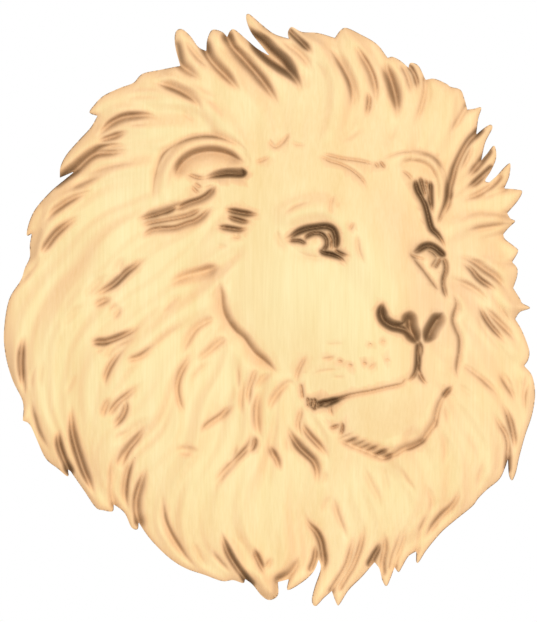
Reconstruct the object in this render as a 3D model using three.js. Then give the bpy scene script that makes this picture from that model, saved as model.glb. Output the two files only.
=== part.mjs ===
// A carved wooden wall plaque: the head and mane of a lion in relief, cut out along the locks of the mane.
// It is one solid piece with a flat back. Millimetres, +Z up, the carving faces -Y, and the flat back
// lies in the plane y = 0 with the origin at its middle.
//
// The carving is laid out on a drawing: x runs to the right and y runs down, in drawing units.
// Every place, width and depth of the carving is given in those units, as a share of the whole height.
import * as THREE from "three";

// Driving sizes, in millimetres.
const HEIGHT = 335; // from the lowest lock to the highest
const BOARD = 5; // thickness of the board under the carving

// The drawing that the carving is laid out on, in drawing units.
const LEFT = 3;
const RIGHT = 536;
const TOP = 13;
const BOTTOM = 607;
const UNIT = HEIGHT / (BOTTOM - TOP); // millimetres in one drawing unit
const MIDDLE_X = (LEFT + RIGHT) / 2;
const MIDDLE_Y = (TOP + BOTTOM) / 2;

// Heights, in drawing units.
const THINNEST = 4; // that the deepest cuts leave of the board
const MANE_RISE = 24; // how far the mane swells over the board
const MANE_REACH = 78; // how far in from the outline it takes to swell
const RIM_RISE = 5; // how far the locks stand over the board at the outline
const EDGE_DROP = 2; // how far their edges are rounded over downward
const EDGE_WIDTH = 2.2; // and inward

// How the carved surface is divided into flat facets, in drawing units.
const OUTLINE_STEP = 9; // between points along the outline
const EDGE_ROW = 5.6; // from the outline to the first row of points inside it
const GROOVE_STEP = 8; // between points along a cut
const GROUND_STEP = 12; // between points of the loose net that fills the rest
const GROUND_GAP = 7; // that the net's points keep from the others
const CLOSEST = 2.5; // no two points are nearer than this
const EDGE_ROW_GAP = 3.8; // that the row beside the outline keeps from the cuts
const RIM_GAP = 0.8; // that every point keeps from the circles round the outline's edges
const FAR_CORNERS = 20; // how many heights of the drawing off the net's first three corners lie
const PIECES = 5; // straight pieces of a cut's line from one of its points to the next
const SHOULDER = 0.8; // where a cut's side rounds over into the surface, as a share of its width

// The cuts.
const CROSSING = 0.7; // share of the deeper one that counts where two cuts meet; the rest is both together
const LIFT_REACH = 3.4; // how far a lifted lock reaches from its cut, in half widths of the cut
const LIFT_NEAR = 1.1; // how soon it rises beside the cut, in half widths
const LIFT_FAR = 2.4; // and over how many it falls off again
const NARROW_END = 0.2; // width of a cut at its ends, as a share of its width
const SOFT = 2; // power for the sides of a cut that are rounded over at the top
const SHARP = 1.4; // and for sides that are nearly straight
const LONG = [0.35, 0.45]; // shares of a cut that its two ends fade over
const OPEN = [0, 0.45];
const SHORT = [0.22, 0.22];

// The outline, clockwise from the tip of the highest lock on the left.
// The curve is smooth through its points, and breaks only at the notches between locks.
const NOTCH = "notch";
const OUTLINE = [
  [59, 177, NOTCH], [60, 166], [66, 154], [78, 140], [90, 127], [97, 115, NOTCH], [89, 112], [93, 105],
  [103, 95], [120, 87], [133, 82], [142, 73], [160, 69], [180, 65, NOTCH], [175, 46], [175, 32],
  [181, 28], [190, 35], [198, 46], [206, 50, NOTCH], [207, 39], [212, 29], [222, 31], [227, 36, NOTCH],
  [230, 30], [235, 29], [248, 40], [258, 48], [270, 55, NOTCH], [262, 45], [251, 31], [246, 17],
  [249, 13], [261, 23], [274, 33], [289, 38, NOTCH], [288, 31], [292, 26], [302, 31], [318, 32],
  [335, 37, NOTCH], [341, 29], [347, 27], [360, 33], [377, 43], [388, 57, NOTCH], [393, 56], [401, 60],
  [409, 67, NOTCH], [411, 62], [419, 65], [426, 79, NOTCH], [435, 78], [447, 83], [451, 86], [461, 89],
  [465, 98], [468, 109, NOTCH], [475, 108], [482, 107], [479, 118], [477, 134, NOTCH], [484, 128],
  [491, 124], [493, 128], [486, 142], [482, 160, NOTCH], [488, 153], [495, 145], [497, 157], [492, 170],
  [486, 180], [490, 182, NOTCH], [498, 175], [505, 167], [511, 163], [510, 176], [505, 188, NOTCH],
  [517, 189], [523, 191], [519, 200], [508, 213, NOTCH], [511, 218], [516, 221], [510, 227],
  [504, 234, NOTCH], [506, 239], [515, 246], [519, 251], [513, 262, NOTCH], [518, 268], [518, 276],
  [514, 288, NOTCH], [521, 299], [523, 303], [531, 308], [521, 312], [516, 319, NOTCH], [523, 331],
  [530, 350], [529, 360], [525, 366, NOTCH], [533, 376], [536, 394], [533, 415], [526, 436], [520, 458],
  [517, 472], [513, 481], [510, 475], [509, 459, NOTCH], [506, 468], [500, 480], [488, 490], [479, 499],
  [473, 507], [457, 520], [442, 533], [427, 551], [420, 562], [417, 563], [417, 552, NOTCH], [409, 557],
  [403, 567], [399, 573], [395, 568, NOTCH], [391, 579], [387, 587], [383, 582], [380, 570],
  [375, 563, NOTCH], [362, 578], [349, 591], [340, 605], [337, 605], [332, 592, NOTCH], [324, 599],
  [316, 607], [312, 602], [315, 588], [321, 570], [319, 560, NOTCH], [314, 572], [304, 582], [288, 591],
  [289, 580, NOTCH], [278, 583, NOTCH], [278, 596], [270, 601], [262, 597], [253, 586],
  [245, 580, NOTCH], [243, 584], [233, 581], [222, 582], [205, 576], [185, 569], [168, 558], [150, 540],
  [138, 523, NOTCH], [137, 530], [131, 528], [125, 515], [119, 509], [113, 505, NOTCH], [112, 512],
  [103, 511], [95, 508], [84, 492], [70, 472, NOTCH], [67, 470, NOTCH], [67, 477], [57, 469], [45, 459],
  [36, 440], [29, 425], [22, 421, NOTCH], [22, 402], [12, 381], [5, 357], [3, 332], [8, 300], [20, 280],
  [24, 268], [29, 257], [29, 245], [31, 233, NOTCH], [26, 235], [28, 223], [35, 208], [50, 191],
  [64, 179], [75, 170, NOTCH],
];

// A smooth curve through the points of a path, as a polyline of vectors with y down the drawing.
function smoothPath(path) {
  const curve = new THREE.CatmullRomCurve3(
    path.map(([x, y]) => new THREE.Vector3(x, y, 0)),
    false,
    "catmullrom",
  );
  return curve.getPoints(PIECES * (path.length - 1));
}

// Rises smoothly from 0 at 0 to 1 at 1.
function ease(share) {
  return THREE.MathUtils.smoothstep(share, 0, 1);
}

// A line on the drawing that a cut or a ridge follows. It gives the nearest place on the line.
class Track {
  constructor(path, reach) {
    this.points = smoothPath(path);
    this.lengths = [0];
    for (let i = 1; i < this.points.length; i++) {
      this.lengths.push(this.lengths[i - 1] + this.points[i].distanceTo(this.points[i - 1]));
    }
    this.box = new THREE.Box3().setFromPoints(this.points).expandByScalar(reach);
  }

  get length() {
    return this.lengths.at(-1);
  }

  // How far the place is from the line, which share of the way along, and on which side.
  nearest(x, y) {
    if (x < this.box.min.x || x > this.box.max.x || y < this.box.min.y || y > this.box.max.y) return null;
    let found = { distance: Infinity, along: 0, right: false };
    for (let i = 1; i < this.points.length; i++) {
      const from = this.points[i - 1];
      const dx = this.points[i].x - from.x;
      const dy = this.points[i].y - from.y;
      const span = Math.hypot(dx, dy);
      const u = THREE.MathUtils.clamp(((x - from.x) * dx + (y - from.y) * dy) / (span * span), 0, 1);
      const ex = x - from.x - u * dx;
      const ey = y - from.y - u * dy;
      const distance = Math.hypot(ex, ey);
      if (distance < found.distance) {
        const along = (this.lengths[i - 1] + u * span) / this.length;
        found = { distance, along, right: dx * ey - dy * ex > 0 };
      }
    }
    return found;
  }

  // The place at a share of the way along, with the direction that the line runs there.
  placeAt(share) {
    const wanted = share * this.length;
    const last = this.points.length - 1;
    let i = 1;
    while (i < last && this.lengths[i] < wanted) i++;
    const from = this.points[i - 1];
    const to = this.points[i];
    const span = from.distanceTo(to);
    const place = from.clone().lerp(to, (wanted - this.lengths[i - 1]) / span);
    return { x: place.x, y: place.y, dx: (to.x - from.x) / span, dy: (to.y - from.y) / span };
  }
}

// A cut along a path, with its half widths to the left and right of the way the path runs.
// A lift above 0 raises the lock on its right, and one below 0 the lock on its left.
function groove(path, left, right, depth, power = SOFT, [startFade, endFade] = LONG, lift = 0) {
  const track = new Track(path, Math.max(left, right) * (lift ? LIFT_REACH : 1));
  return {
    track,
    left,
    right,
    change(x, y, surface) {
      const at = track.nearest(x, y);
      if (!at) return;
      const start = startFade ? ease(at.along / startFade) : 1;
      const fade = start * ease((1 - at.along) / endFade);
      const width = (at.right ? right : left) * (NARROW_END + (1 - NARROW_END) * fade);
      const off = at.distance / width;
      const cut = depth * fade * Math.max(0, 1 - off) ** power;
      surface.cut = CROSSING * Math.max(surface.cut, cut) + (1 - CROSSING) * Math.hypot(surface.cut, cut);
      if (lift && lift > 0 === at.right) {
        surface.rise += Math.abs(lift) * fade * ease(off / LIFT_NEAR) * ease((LIFT_REACH - off) / LIFT_FAR);
      }
    },
  };
}

// A rounded ridge along a path, with its half widths and the share of it that each end fades over.
function ridge(path, left, right, height, power = 2, startFade = 0.3, endFade = 0.3) {
  const track = new Track(path, Math.max(left, right));
  return {
    track,
    left,
    right,
    change(x, y, surface) {
      const at = track.nearest(x, y);
      if (!at) return;
      const fade = ease(at.along / startFade) * ease((1 - at.along) / endFade);
      const off = Math.min(1, at.distance / (at.right ? right : left));
      surface.rise += height * fade * (1 - off * off) ** power;
    },
  };
}

// An oval swelling, or a hollow where the height is below 0. Turn is in degrees, clockwise on the drawing.
function mound([centreX, centreY], [longRadius, shortRadius], turn, height, power = 1.5) {
  const angle = THREE.MathUtils.degToRad(turn);
  const cos = Math.cos(angle);
  const sin = Math.sin(angle);
  return {
    change(x, y, surface) {
      const dx = x - centreX;
      const dy = y - centreY;
      const u = (dx * cos + dy * sin) / longRadius;
      const v = (dy * cos - dx * sin) / shortRadius;
      surface.rise += height * Math.max(0, 1 - u * u - v * v) ** power;
    },
  };
}

// The broad forms of the head, which stand out of the mane.
const HEAD = [
  mound([345, 285], [172, 200], -12, 13, 2),
  // forehead
  mound([320, 185], [110, 80], 5, 2, 2),
  // cheek
  mound([275, 300], [90, 110], -20, 2.5, 2),
  // muzzle
  mound([382, 345], [100, 96], 8, 5, 2),
  // chin
  mound([390, 410], [80, 66], -5, 3, 2),
  // bridge of the nose
  ridge([[318, 180], [366, 240], [398, 285], [424, 325]], 60, 44, 6, 2, 0.5, 0.25),
];

// The cuts that run in from the notches.
const NOTCH_CUTS = [
  groove([[176, 45], [180, 62], [189, 70.5], [204, 80]], 9, 8, 6.5, SOFT, OPEN),
  groove([[55, 182], [75, 169.5], [84, 161], [92, 155], [99, 152.5], [112, 152], [134, 150]],
    10, 7, 8.5, SOFT, OPEN, -3),
  groove([[69, 472], [62, 456], [58, 442], [59, 426]], 6, 5, 9.5, SOFT, OPEN),
  groove([[113.5, 506], [111, 495], [110.7, 480], [111.5, 465], [114.5, 452]], 3, 10, 3.2, SOFT, OPEN),
  groove([[138, 523], [135.5, 512], [135.5, 500], [138, 490], [142, 478], [148, 464]],
    6, 12, 6, SOFT, OPEN),
  groove([[249, 585], [245, 580], [237, 569], [229, 556], [224, 543], [220, 528]],
    4, 7, 8.5, SOFT, OPEN, 3),
  groove([[279, 581], [290, 575], [297, 565], [301, 553]], 7, 5, 5, SOFT, OPEN),
  groove([[311, 570], [314.5, 561], [316, 552], [316, 542]], 4, 3, 7.5, SOFT, OPEN),
  groove([[322, 576], [324, 563], [322.5, 551], [320.5, 541], [316, 532], [308, 523], [302, 508]],
    5, 5, 10, SOFT, OPEN),
  groove([[331, 592], [338, 581], [344, 571.5], [348.5, 561.5], [351.5, 550], [354.5, 539],
    [357, 526]], 3.5, 4, 5, SOFT, OPEN),
  groove([[340, 589], [346, 578.5], [352, 569], [356.5, 559], [360, 549], [362.5, 539], [364, 529],
    [362, 517]], 4, 3.5, 5.5, SOFT, OPEN),
  groove([[370, 565], [374.5, 556.5], [378.5, 549.5], [381.5, 540]], 3.5, 4, 9, SOFT, OPEN),
  groove([[383, 573], [382.5, 562], [384.5, 551], [385, 542], [383, 530]], 4, 5.5, 5.5, SOFT, OPEN),
  groove([[391, 569], [393, 558.5], [397, 547.5], [400.5, 537], [404.5, 526]],
    2.5, 2.5, 4.5, SOFT, OPEN),
  groove([[395, 568], [397, 559], [401, 549], [404.5, 538], [408, 523]], 2.5, 3, 4.5, SOFT, OPEN),
  groove([[510, 466], [512, 446], [510, 433], [504, 421], [497, 409], [490, 399]],
    6, 9, 6.5, SOFT, OPEN),
  groove([[500, 172], [489, 181], [482, 186], [473, 191], [459, 199]], 9, 12, 8, SOFT, OPEN),
  groove([[490, 151], [482, 160], [475, 168], [464, 180]], 5, 6, 5, SOFT, OPEN),
  groove([[481, 129], [477, 135], [470, 146], [464, 158], [458, 171], [452, 186], [448, 199],
    [441, 215]], 7, 9, 7, SOFT, OPEN),
  groove([[468, 104], [462, 115], [456, 125], [449, 137]], 4, 4, 3.5, SOFT, OPEN),
  groove([[385, 56], [388, 70], [392, 82], [395, 93], [397, 104], [398, 120]], 11, 9, 11, SOFT, LONG),
  groove([[379, 58], [384, 68], [388, 79], [391.5, 92], [394, 106]], 2, 4, 5),
  groove([[404, 66], [408.5, 75], [411.5, 85], [413, 96]], 1.5, 4.5, 5, SOFT, OPEN),
  groove([[411, 66], [415.5, 74], [418, 83], [418.5, 90]], 1.5, 3, 5.5, SOFT, OPEN),
  groove([[426.5, 78], [426, 92], [422.5, 106], [418, 118], [412, 130]], 1.5, 4.5, 4, SOFT, OPEN),
  groove([[290, 31], [298, 39], [306, 47], [314, 55]], 5.5, 1.2, 8, SOFT, OPEN),
  groove([[246, 23], [255, 38], [262, 47], [270, 55], [280, 63], [289, 71], [297, 81], [303, 94]],
    13, 9, 18, SHARP, [0.3, 0.45], -4),
  groove([[227, 36], [233, 47], [243, 58], [252, 68], [262, 80], [272, 94], [282, 112]],
    9, 8, 8, SOFT, OPEN, -2),
  groove([[204, 46], [208, 56], [216, 66], [227, 77], [243, 94]], 10, 6, 7, SOFT, OPEN, -2),
  groove([[506, 188], [494, 193], [478, 200]], 5, 5, 2.5, SOFT, OPEN),
];

// The cuts between the locks inside the mane.
const MANE_CUTS = [
  groove([[151, 80], [164, 84.5], [174, 88], [184, 93], [195, 101], [203, 114]],
    12, 4.5, 6.5, SOFT, LONG, -2),
  groove([[93, 143], [101, 134], [112, 125], [125, 120], [145, 119], [169, 123]],
    10, 3, 6, SOFT, LONG, -3),
  groove([[94, 143], [106, 139.5], [116, 136.5], [129, 132]], 4.5, 12, 5),
  groove([[183, 34], [190, 46], [197, 55], [205, 63], [215, 71]], 5, 5, 4),
  groove([[278, 38], [288, 44], [298, 51], [307, 61], [314, 74]], 9, 7, 5),
  groove([[325, 43], [332, 50], [339.5, 61], [345.5, 71.5], [350.5, 82], [352.5, 93], [352, 103],
    [349, 116]], 14, 4.5, 4.2),
  groove([[347, 70], [354, 82], [357, 92], [358, 103], [357, 112]], 3, 3, 2.5),
  groove([[350, 36], [357, 46], [363.5, 56], [369.5, 66], [374, 77], [376.5, 90], [375.5, 102],
    [371, 114]], 2.5, 8, 4.5),
  groove([[367.5, 88], [369.5, 98], [368.5, 108], [366, 120]], 2.5, 3, 5),
  // on the left,
  groove([[42, 224], [52, 212.5], [61.5, 205.5], [70.5, 199.8], [81, 194.5], [97, 189]],
    6.5, 4, 5.5, SOFT, LONG, -2),
  groove([[38, 258], [41.5, 252], [45.5, 246.5], [50.5, 239.5], [56, 233], [63, 227], [73, 219.5],
    [88, 211]], 6, 5.5, 7.5, SOFT, [0.25, 0.55]),
  groove([[19, 286], [26, 276], [32, 268.5], [37, 261], [42, 252]], 9, 4, 3),
  groove([[91, 299.5], [96, 294.5], [102, 290], [109, 286.5], [116, 282], [122, 277], [128, 272],
    [134, 267.5], [140, 261], [145, 257.5], [150, 254.5]], 15, 4.5, 4.5, SOFT, [0.3, 0.25]),
  groove([[82, 300], [88, 293.5], [95, 286], [102, 279.5], [111, 274]], 12, 4.5, 2.8),
  groove([[94, 307], [101, 302.5], [107, 299.5], [114, 297]], 8, 5, 3.2, SOFT, [0.3, 0.3]),
  groove([[164, 288], [172, 282.5], [181, 278], [191, 274.5], [201, 271.8], [211, 269], [222, 265.5]],
    8, 12, 4.2, SHARP, [0.45, 0.2]),
  groove([[89, 345.5], [97, 343.5], [104, 343.5], [110, 342], [117, 339], [124, 336], [130, 333],
    [136, 328.5], [140.5, 320]], 8, 2.5, 8, SHARP, [0.25, 0.3]),
  groove([[102, 351.5], [108, 347], [114, 344.5], [120, 342], [127, 339], [134, 335], [139, 329]],
    3, 8, 3.5),
  groove([[94, 352], [100, 349], [106, 345]], 3.5, 4, 3),
  groove([[105, 353], [111, 349.5], [117, 345]], 3.5, 4, 3),
  groove([[104, 394], [104, 381], [107.5, 371], [113, 363], [124, 350]], 4, 4, 5),
  groove([[105, 359], [108, 354], [112, 350]], 2.5, 4, 2.5),
  groove([[124, 364], [131, 361], [138, 359], [144, 355], [151, 349.5], [162, 340]],
    6, 8, 4, SOFT, [0.3, 0.6]),
  groove([[179, 358], [184, 349], [189, 340], [193, 333], [198, 327.5], [204, 323.5], [211, 320],
    [222, 317]], 12, 4, 2.6),
  groove([[188, 416], [182, 408.5], [178.5, 398], [177.5, 387], [180, 375.5], [184.5, 366.5],
    [190, 358], [199, 348]], 7, 3, 4),
  groove([[195, 363], [207, 353], [218, 344], [231, 334]], 10, 4, 2.6),
  groove([[25, 332], [22, 344], [20.5, 357], [20.5, 370], [22, 384], [25, 400]], 5, 5.5, 7.5),
  groove([[31, 398], [32, 410], [34.5, 421], [38.5, 433], [46, 446], [52, 454]], 3, 14, 4),
  // at the lower left,
  groove([[97, 503], [92.5, 492], [88, 482], [84, 472], [80, 460.5], [75.5, 446], [72.3, 431],
    [71.8, 416], [72.5, 400]], 6, 14, 7.5),
  groove([[108, 419], [111, 411], [115.5, 405], [120, 400.5], [127, 395], [135, 388.5], [144, 382]],
    5.5, 8, 4.5),
  groove([[110, 430], [116.5, 424], [121.5, 418], [125, 411], [126, 404], [124, 398]], 8, 3, 4),
  groove([[102, 420], [104, 411], [107.5, 403], [112, 396]], 8, 3, 3),
  groove([[110, 448], [124, 436], [138, 426], [152, 414]], 11, 9, 3),
  groove([[118, 476], [121.5, 465], [125.5, 455], [130, 447.5], [136, 440.5], [141, 433.5],
    [146, 425.5], [150, 414]], 14, 4, 5),
  groove([[117, 470], [119.5, 460], [124.5, 450], [130, 443]], 3, 6, 2.5),
  groove([[136, 452], [129, 468], [125.5, 484], [125, 499], [129, 516]], 3, 7, 4),
  groove([[162.5, 490], [163, 506], [165, 521], [170.5, 534], [178, 546.5], [187, 559], [203, 575]],
    3.5, 12, 4),
  groove([[210, 548], [218, 561], [234, 577]], 4.5, 4.5, 3),
  groove([[253, 546], [255.5, 554.5], [259, 562.5], [262.5, 569.5], [267, 578]], 4, 4, 7.5),
  groove([[251.5, 553], [253.5, 561.5], [257.5, 569.5], [262, 576]], 2, 3, 3),
  groove([[264, 573], [268.5, 564.5], [273, 557]], 3, 4, 3.5),
  // on the throat,
  groove([[252.5, 426], [251.5, 437], [248.5, 446], [243, 452.5], [235, 460.5], [228, 467.5],
    [221.5, 475], [216.5, 483], [214, 498]], 4, 3.5, 6.5),
  groove([[254.5, 434], [254.5, 442], [252, 448.5], [247, 453.5]], 3, 3, 6),
  groove([[243, 458], [234, 465.5], [226.5, 473], [221, 480], [218, 492]], 2.5, 3, 4),
  groove([[237, 443], [234.5, 451], [230.5, 459], [226, 467]], 3, 3, 3),
  groove([[263, 442], [258.5, 432], [256.5, 420], [256.5, 408], [259, 396], [264, 386]], 6, 6, 4.5),
  groove([[241.5, 420], [240.5, 408], [241, 398], [242, 390], [244.5, 380], [247.5, 371]], 2.5, 3, 3.5),
  groove([[237.5, 396], [238, 380], [237, 362]], 3, 2, 2.5),
  groove([[200.5, 438], [203.5, 429], [211, 422], [220, 416], [229, 408], [238, 403]], 3, 7, 4),
  groove([[248, 414], [247.8, 400], [249, 389], [252, 379.5], [255.5, 371], [262, 366.5],
    [270, 364.5]], 3, 5, 5),
  groove([[268, 444], [272.5, 452.5], [276.5, 460], [278.5, 466.5], [279, 475]], 5, 4.5, 6.5),
  groove([[285, 422], [289.5, 432.5], [294, 441], [300, 449], [307, 455.5], [313, 461.5], [316.5, 470],
    [317, 480], [316, 492]], 7, 3.5, 7.5),
  groove([[288, 434], [289, 446], [292, 458]], 3, 3, 2.5),
  groove([[302, 402], [300.5, 413], [298.3, 423], [299, 430.5], [302, 437], [306, 442]], 2.5, 3, 5),
  groove([[301, 416], [303.5, 426.5], [308.5, 434.5], [315, 441.5], [321, 448], [326.5, 455.5],
    [330, 463]], 5, 4.5, 6.5),
  groove([[268, 416], [271, 404], [276.5, 394.5], [283, 387], [288.5, 382.5], [293, 384.5],
    [297, 391]], 6, 5, 4),
  groove([[253, 397], [258, 384], [267, 375], [279, 370]], 4, 4, 2.5),
  // at the lower right,
  groove([[331, 492], [334, 503], [337.5, 515], [342, 527], [346.5, 539], [349.5, 548]], 4, 4, 3.5),
  groove([[417.5, 538], [421.5, 529], [425.5, 520], [428, 511]], 2.5, 3, 3),
  groove([[421, 547], [428, 536], [435, 525], [443, 515.5], [452, 507], [459, 495], [461, 478]],
    4.5, 4.5, 5.5),
  // and on the right
  groove([[499, 367], [507, 382], [513, 393], [519, 404], [523, 418]], 4, 4, 5.5),
  groove([[455, 360], [470, 369], [484, 380], [496, 391], [506, 406]], 4.5, 4, 3.5),
  groove([[476, 300], [484, 312], [491, 320.5], [499, 328.5], [508, 338], [522, 354]], 9, 5, 7),
  groove([[455, 255], [466, 260], [475, 267], [483, 274.5], [491, 281], [501, 288], [517, 300]],
    13, 7, 7.5, SOFT, LONG, -2),
  groove([[464, 232], [482, 228.5], [498, 226], [514, 222]], 6, 5, 4),
  groove([[451, 280], [464, 283.5], [476, 290], [486, 299], [494, 310]], 5, 5, 3.5),
];

// The near ear: the line round it, its rim, its hollow, and the folds in it.
const NEAR_EAR = [
  groove([[151.5, 206], [152.5, 190], [154, 177], [157, 165], [161.5, 155], [167, 149], [177, 142.5],
    [190, 137.5], [205, 135.5], [222, 137.5], [240, 145.5], [253, 159]], 9, 3, 2.6, SOFT, SHORT),
  ridge([[162, 205], [163, 186], [169, 166], [184, 149], [206, 142], [228, 145], [246, 157]],
    8, 7, 3, 1.5),
  groove([[174, 182], [178, 170], [185, 160.5], [196, 154], [211, 151.5], [228, 154.5], [247, 164.5]],
    8, 22, 6, SOFT, SHORT),
  groove([[183, 172], [192, 175.5], [200, 178], [211, 177]], 3, 2.5, 4),
  groove([[197, 177.5], [205, 178], [215, 175.5], [228, 173.5], [240, 174], [248, 172]],
    7.5, 3.5, 10, SHARP, [0.6, 0.12]),
  groove([[194, 182], [198, 186], [203, 187]], 3, 3, 3.5),
  groove([[191, 185], [196, 191], [201, 194]], 3, 3, 3.5),
  groove([[203, 190], [215, 184]], 2.5, 2.5, 2.5),
];

// The hair in front of the near ear, and the tufts on the temple.
const EAR_TUFTS = [
  groove([[134, 221], [148, 217], [160, 213.5], [171, 209.5], [181, 203.5], [190, 198]], 8, 3, 5),
  groove([[172, 211], [181, 206], [191, 202], [200, 199], [208, 194], [217, 184]],
    3.5, 10, 4.5, SOFT, SHORT),
  groove([[138, 227.5], [150, 223], [163, 220.5], [178, 218], [192, 214], [205, 206]],
    8, 3, 3.2, SOFT, SHORT),
  groove([[138, 240], [146, 233], [154, 229], [165, 228], [176, 227], [187, 223], [195, 220.5],
    [203, 215], [214, 204]], 3, 8, 3.5, SOFT, SHORT),
  groove([[222, 208.5], [235, 211.5], [246, 213.5], [262, 215]], 4.5, 5, 8),
  groove([[224, 215], [236, 219], [246, 221.5], [254, 220]], 3, 5, 7),
  groove([[213, 226], [228, 228], [240, 229.5], [252, 227]], 3.5, 5, 7),
  groove([[230, 235], [238, 237], [243, 235]], 2, 3, 2.5),
  groove([[234, 234], [240, 234.5]], 2, 2, 2.5),
];

// The far ear, with the edge of the brow that runs down from it.
const FAR_EAR = [
  ridge([[388, 163], [402, 156], [420, 156], [434, 163], [442, 180], [443, 200], [438, 220]],
    6, 6, 3, 1.5),
  groove([[375, 162], [379, 168]], 2, 2, 3.5, SOFT, SHORT),
  groove([[380, 161], [385, 168]], 2, 2, 4, SOFT, SHORT),
  groove([[411, 172], [417, 186], [421, 195], [426, 203], [429, 214], [430.5, 222], [434, 231]],
    5, 5, 9, SHARP, SHORT),
  groove([[430, 222], [435, 230.5], [441, 238], [445.5, 247], [447.5, 258]], 3.5, 5, 6, SOFT, SHORT),
  groove([[427, 172], [431, 185], [432, 198], [430, 214]], 6, 6, 7, SOFT, SHORT),
];

// The edge of the hair on the forehead, and the lines of the brow.
const FOREHEAD = [
  groove([[268, 136], [271, 143], [276, 146.5], [283, 141], [290, 131]], 3.5, 3.5, 2.5, SOFT, SHORT),
  groove([[254, 163], [264, 159], [272, 156]], 3, 3, 2.5),
  groove([[314, 154], [322, 157], [330, 161], [340, 164], [350, 170], [358, 176], [365, 184]],
    3, 1.5, 2.5, SOFT, SHORT),
  groove([[350, 158.5], [362, 160.5], [372, 163], [380, 167]], 3, 1.5, 2.5, SOFT, SHORT),
];

// The near eye: socket, brow, eyeball, lids and the corner by the nose.
const NEAR_EYE = [
  mound([314, 240], [42, 28], 0, -3, 2),
  ridge([[272, 226], [298, 212], [322, 208], [348, 218]], 18, 14, 2.5, 2),
  mound([313, 245], [22, 15], 8, 4, 2),
  groove([[283, 243], [292, 238], [302, 232], [313, 228.5], [324, 228.5], [331, 232.5], [334, 240],
    [335, 252]], 6.5, 3.5, 11, SHARP, [0.22, 0.12]),
  groove([[322, 232], [327.5, 235.5], [330, 243], [330.5, 252]], 3, 3, 7, SOFT, SHORT),
  groove([[303, 245], [305.5, 238.5], [311, 235], [318, 235], [323.5, 239.5], [325, 247]],
    3, 3, 7, SOFT, SHORT),
  groove([[293, 240], [299, 240], [304, 243.5]], 2.5, 2.5, 4.5, SOFT, SHORT),
  groove([[317, 248], [325, 250], [333, 252.5], [340, 257], [346, 263]], 4, 4, 10, SHARP, [0.3, 0.35]),
  groove([[330, 249], [338, 254], [350, 256.5]], 2, 2, 3),
];

// The far eye, the hollow between it and the nose, and the far edge of the muzzle.
const FAR_EYE = [
  mound([428, 252], [24, 20], 20, -3, 2),
  mound([429, 259], [12, 10], 20, 2.5, 2),
  groove([[412, 253.5], [418, 251], [423, 247.5], [429, 246], [435, 248.5], [441, 253.5], [446, 257]],
    5.5, 3, 9.5, SHARP, SHORT),
  groove([[442, 256], [438, 261], [432, 267]], 2.5, 2.5, 5, SOFT, SHORT),
  groove([[437, 257], [434, 262], [428, 265.5]], 1.8, 1.8, 3),
  groove([[406, 249], [413, 253.5], [420, 254]], 2.5, 3, 4),
  groove([[411, 256], [418, 263], [426, 273], [435, 285], [442, 293]], 9, 2.5, 3.2, SOFT, SHORT),
  groove([[444, 253], [447.5, 265], [445.5, 280], [446, 292], [451, 307]], 11, 6, 6, SOFT, SHORT),
  groove([[451, 289], [459, 301], [458, 311], [455, 321], [459, 333], [462, 345], [460, 358],
    [460, 370], [462, 385]], 13, 6, 4.5, SOFT, SHORT),
];

// The nose: its wings, the nostrils and the line down to the lip.
const NOSE = [
  mound([418, 318], [56, 34], 8, 2, 2),
  groove([[383, 300], [380.5, 311], [383, 320], [391, 326], [399, 328], [406, 330.5], [411, 336],
    [419, 346]], 7.5, 5, 12, SHARP, SHORT),
  groove([[409, 320], [410, 328], [413, 335], [419, 346]], 10, 9, 14, SHARP, OPEN),
  groove([[437, 320], [433, 326], [430, 332], [425, 345]], 11, 8, 14, SHARP, OPEN),
  groove([[419, 338], [418.5, 347], [418, 357], [417.5, 366], [415.5, 373], [410, 379.5], [401, 383]],
    4.5, 4.5, 8, SOFT, SHORT),
  groove([[420.5, 341], [421, 349], [420.5, 360]], 3, 3, 5),
];

// The mouth, with the short cuts where the lips end.
const MOUTH = [
  groove([[412, 381], [399, 385], [385, 388], [370, 391.5], [356, 394], [340, 398]],
    4, 2, 2.4, SOFT, SHORT),
  groove([[407, 377], [404, 382.5], [399, 387]], 2, 2, 3),
  groove([[360, 393.5], [348, 396], [338, 398.5], [329, 401.5], [321, 403.5], [313, 407]],
    4.5, 4, 8.5, SHARP, [0.6, 0.15]),
  groove([[334, 401], [325, 405.5], [319, 408]], 2.5, 2.5, 4),
  groove([[417.5, 362], [419, 372], [423, 380], [431, 388]], 3, 4, 5, SOFT, [0.2, 0.5]),
  groove([[305, 396], [310, 409]], 2.2, 2.2, 4, SOFT, SHORT),
  groove([[308.5, 395], [313, 410]], 2.2, 2.2, 5, SOFT, SHORT),
  groove([[312, 396], [316.5, 411]], 2.2, 2.2, 5, SOFT, SHORT),
  groove([[301, 382], [302, 400]], 2.5, 2.5, 3.5, SOFT, SHORT),
  groove([[309, 352], [302, 363], [297, 375], [295, 388]], 3, 3, 3),
  groove([[331, 404], [329, 415]], 2.5, 2.5, 3),
];

// Under the chin: the edge of the hair, and the tufts along it.
const CHIN = [
  groove([[386, 458.5], [394, 455], [403, 449.5], [413, 443.5], [421, 439.5], [427, 433], [431, 425],
    [435, 417], [437, 407], [442, 398], [449, 390.5], [459, 384]], 5, 15, 4.8, SOFT, SHORT),
  groove([[427, 436], [433, 428], [436, 417]], 3, 3, 5),
  groove([[336, 436], [346, 443], [358, 448], [370, 453], [383, 457.5], [394, 456]],
    9, 7, 4.5, SOFT, SHORT),
  groove([[325, 428], [334, 426.5], [343, 422]], 2.5, 2.5, 4.5),
  groove([[341, 417], [342.5, 427], [339, 439]], 2.5, 3, 5),
  groove([[330, 405], [331, 411], [336, 417]], 2.5, 2.5, 2.5),
  groove([[373, 460], [383, 458.5], [394, 453]], 3, 3, 5),
];

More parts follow.
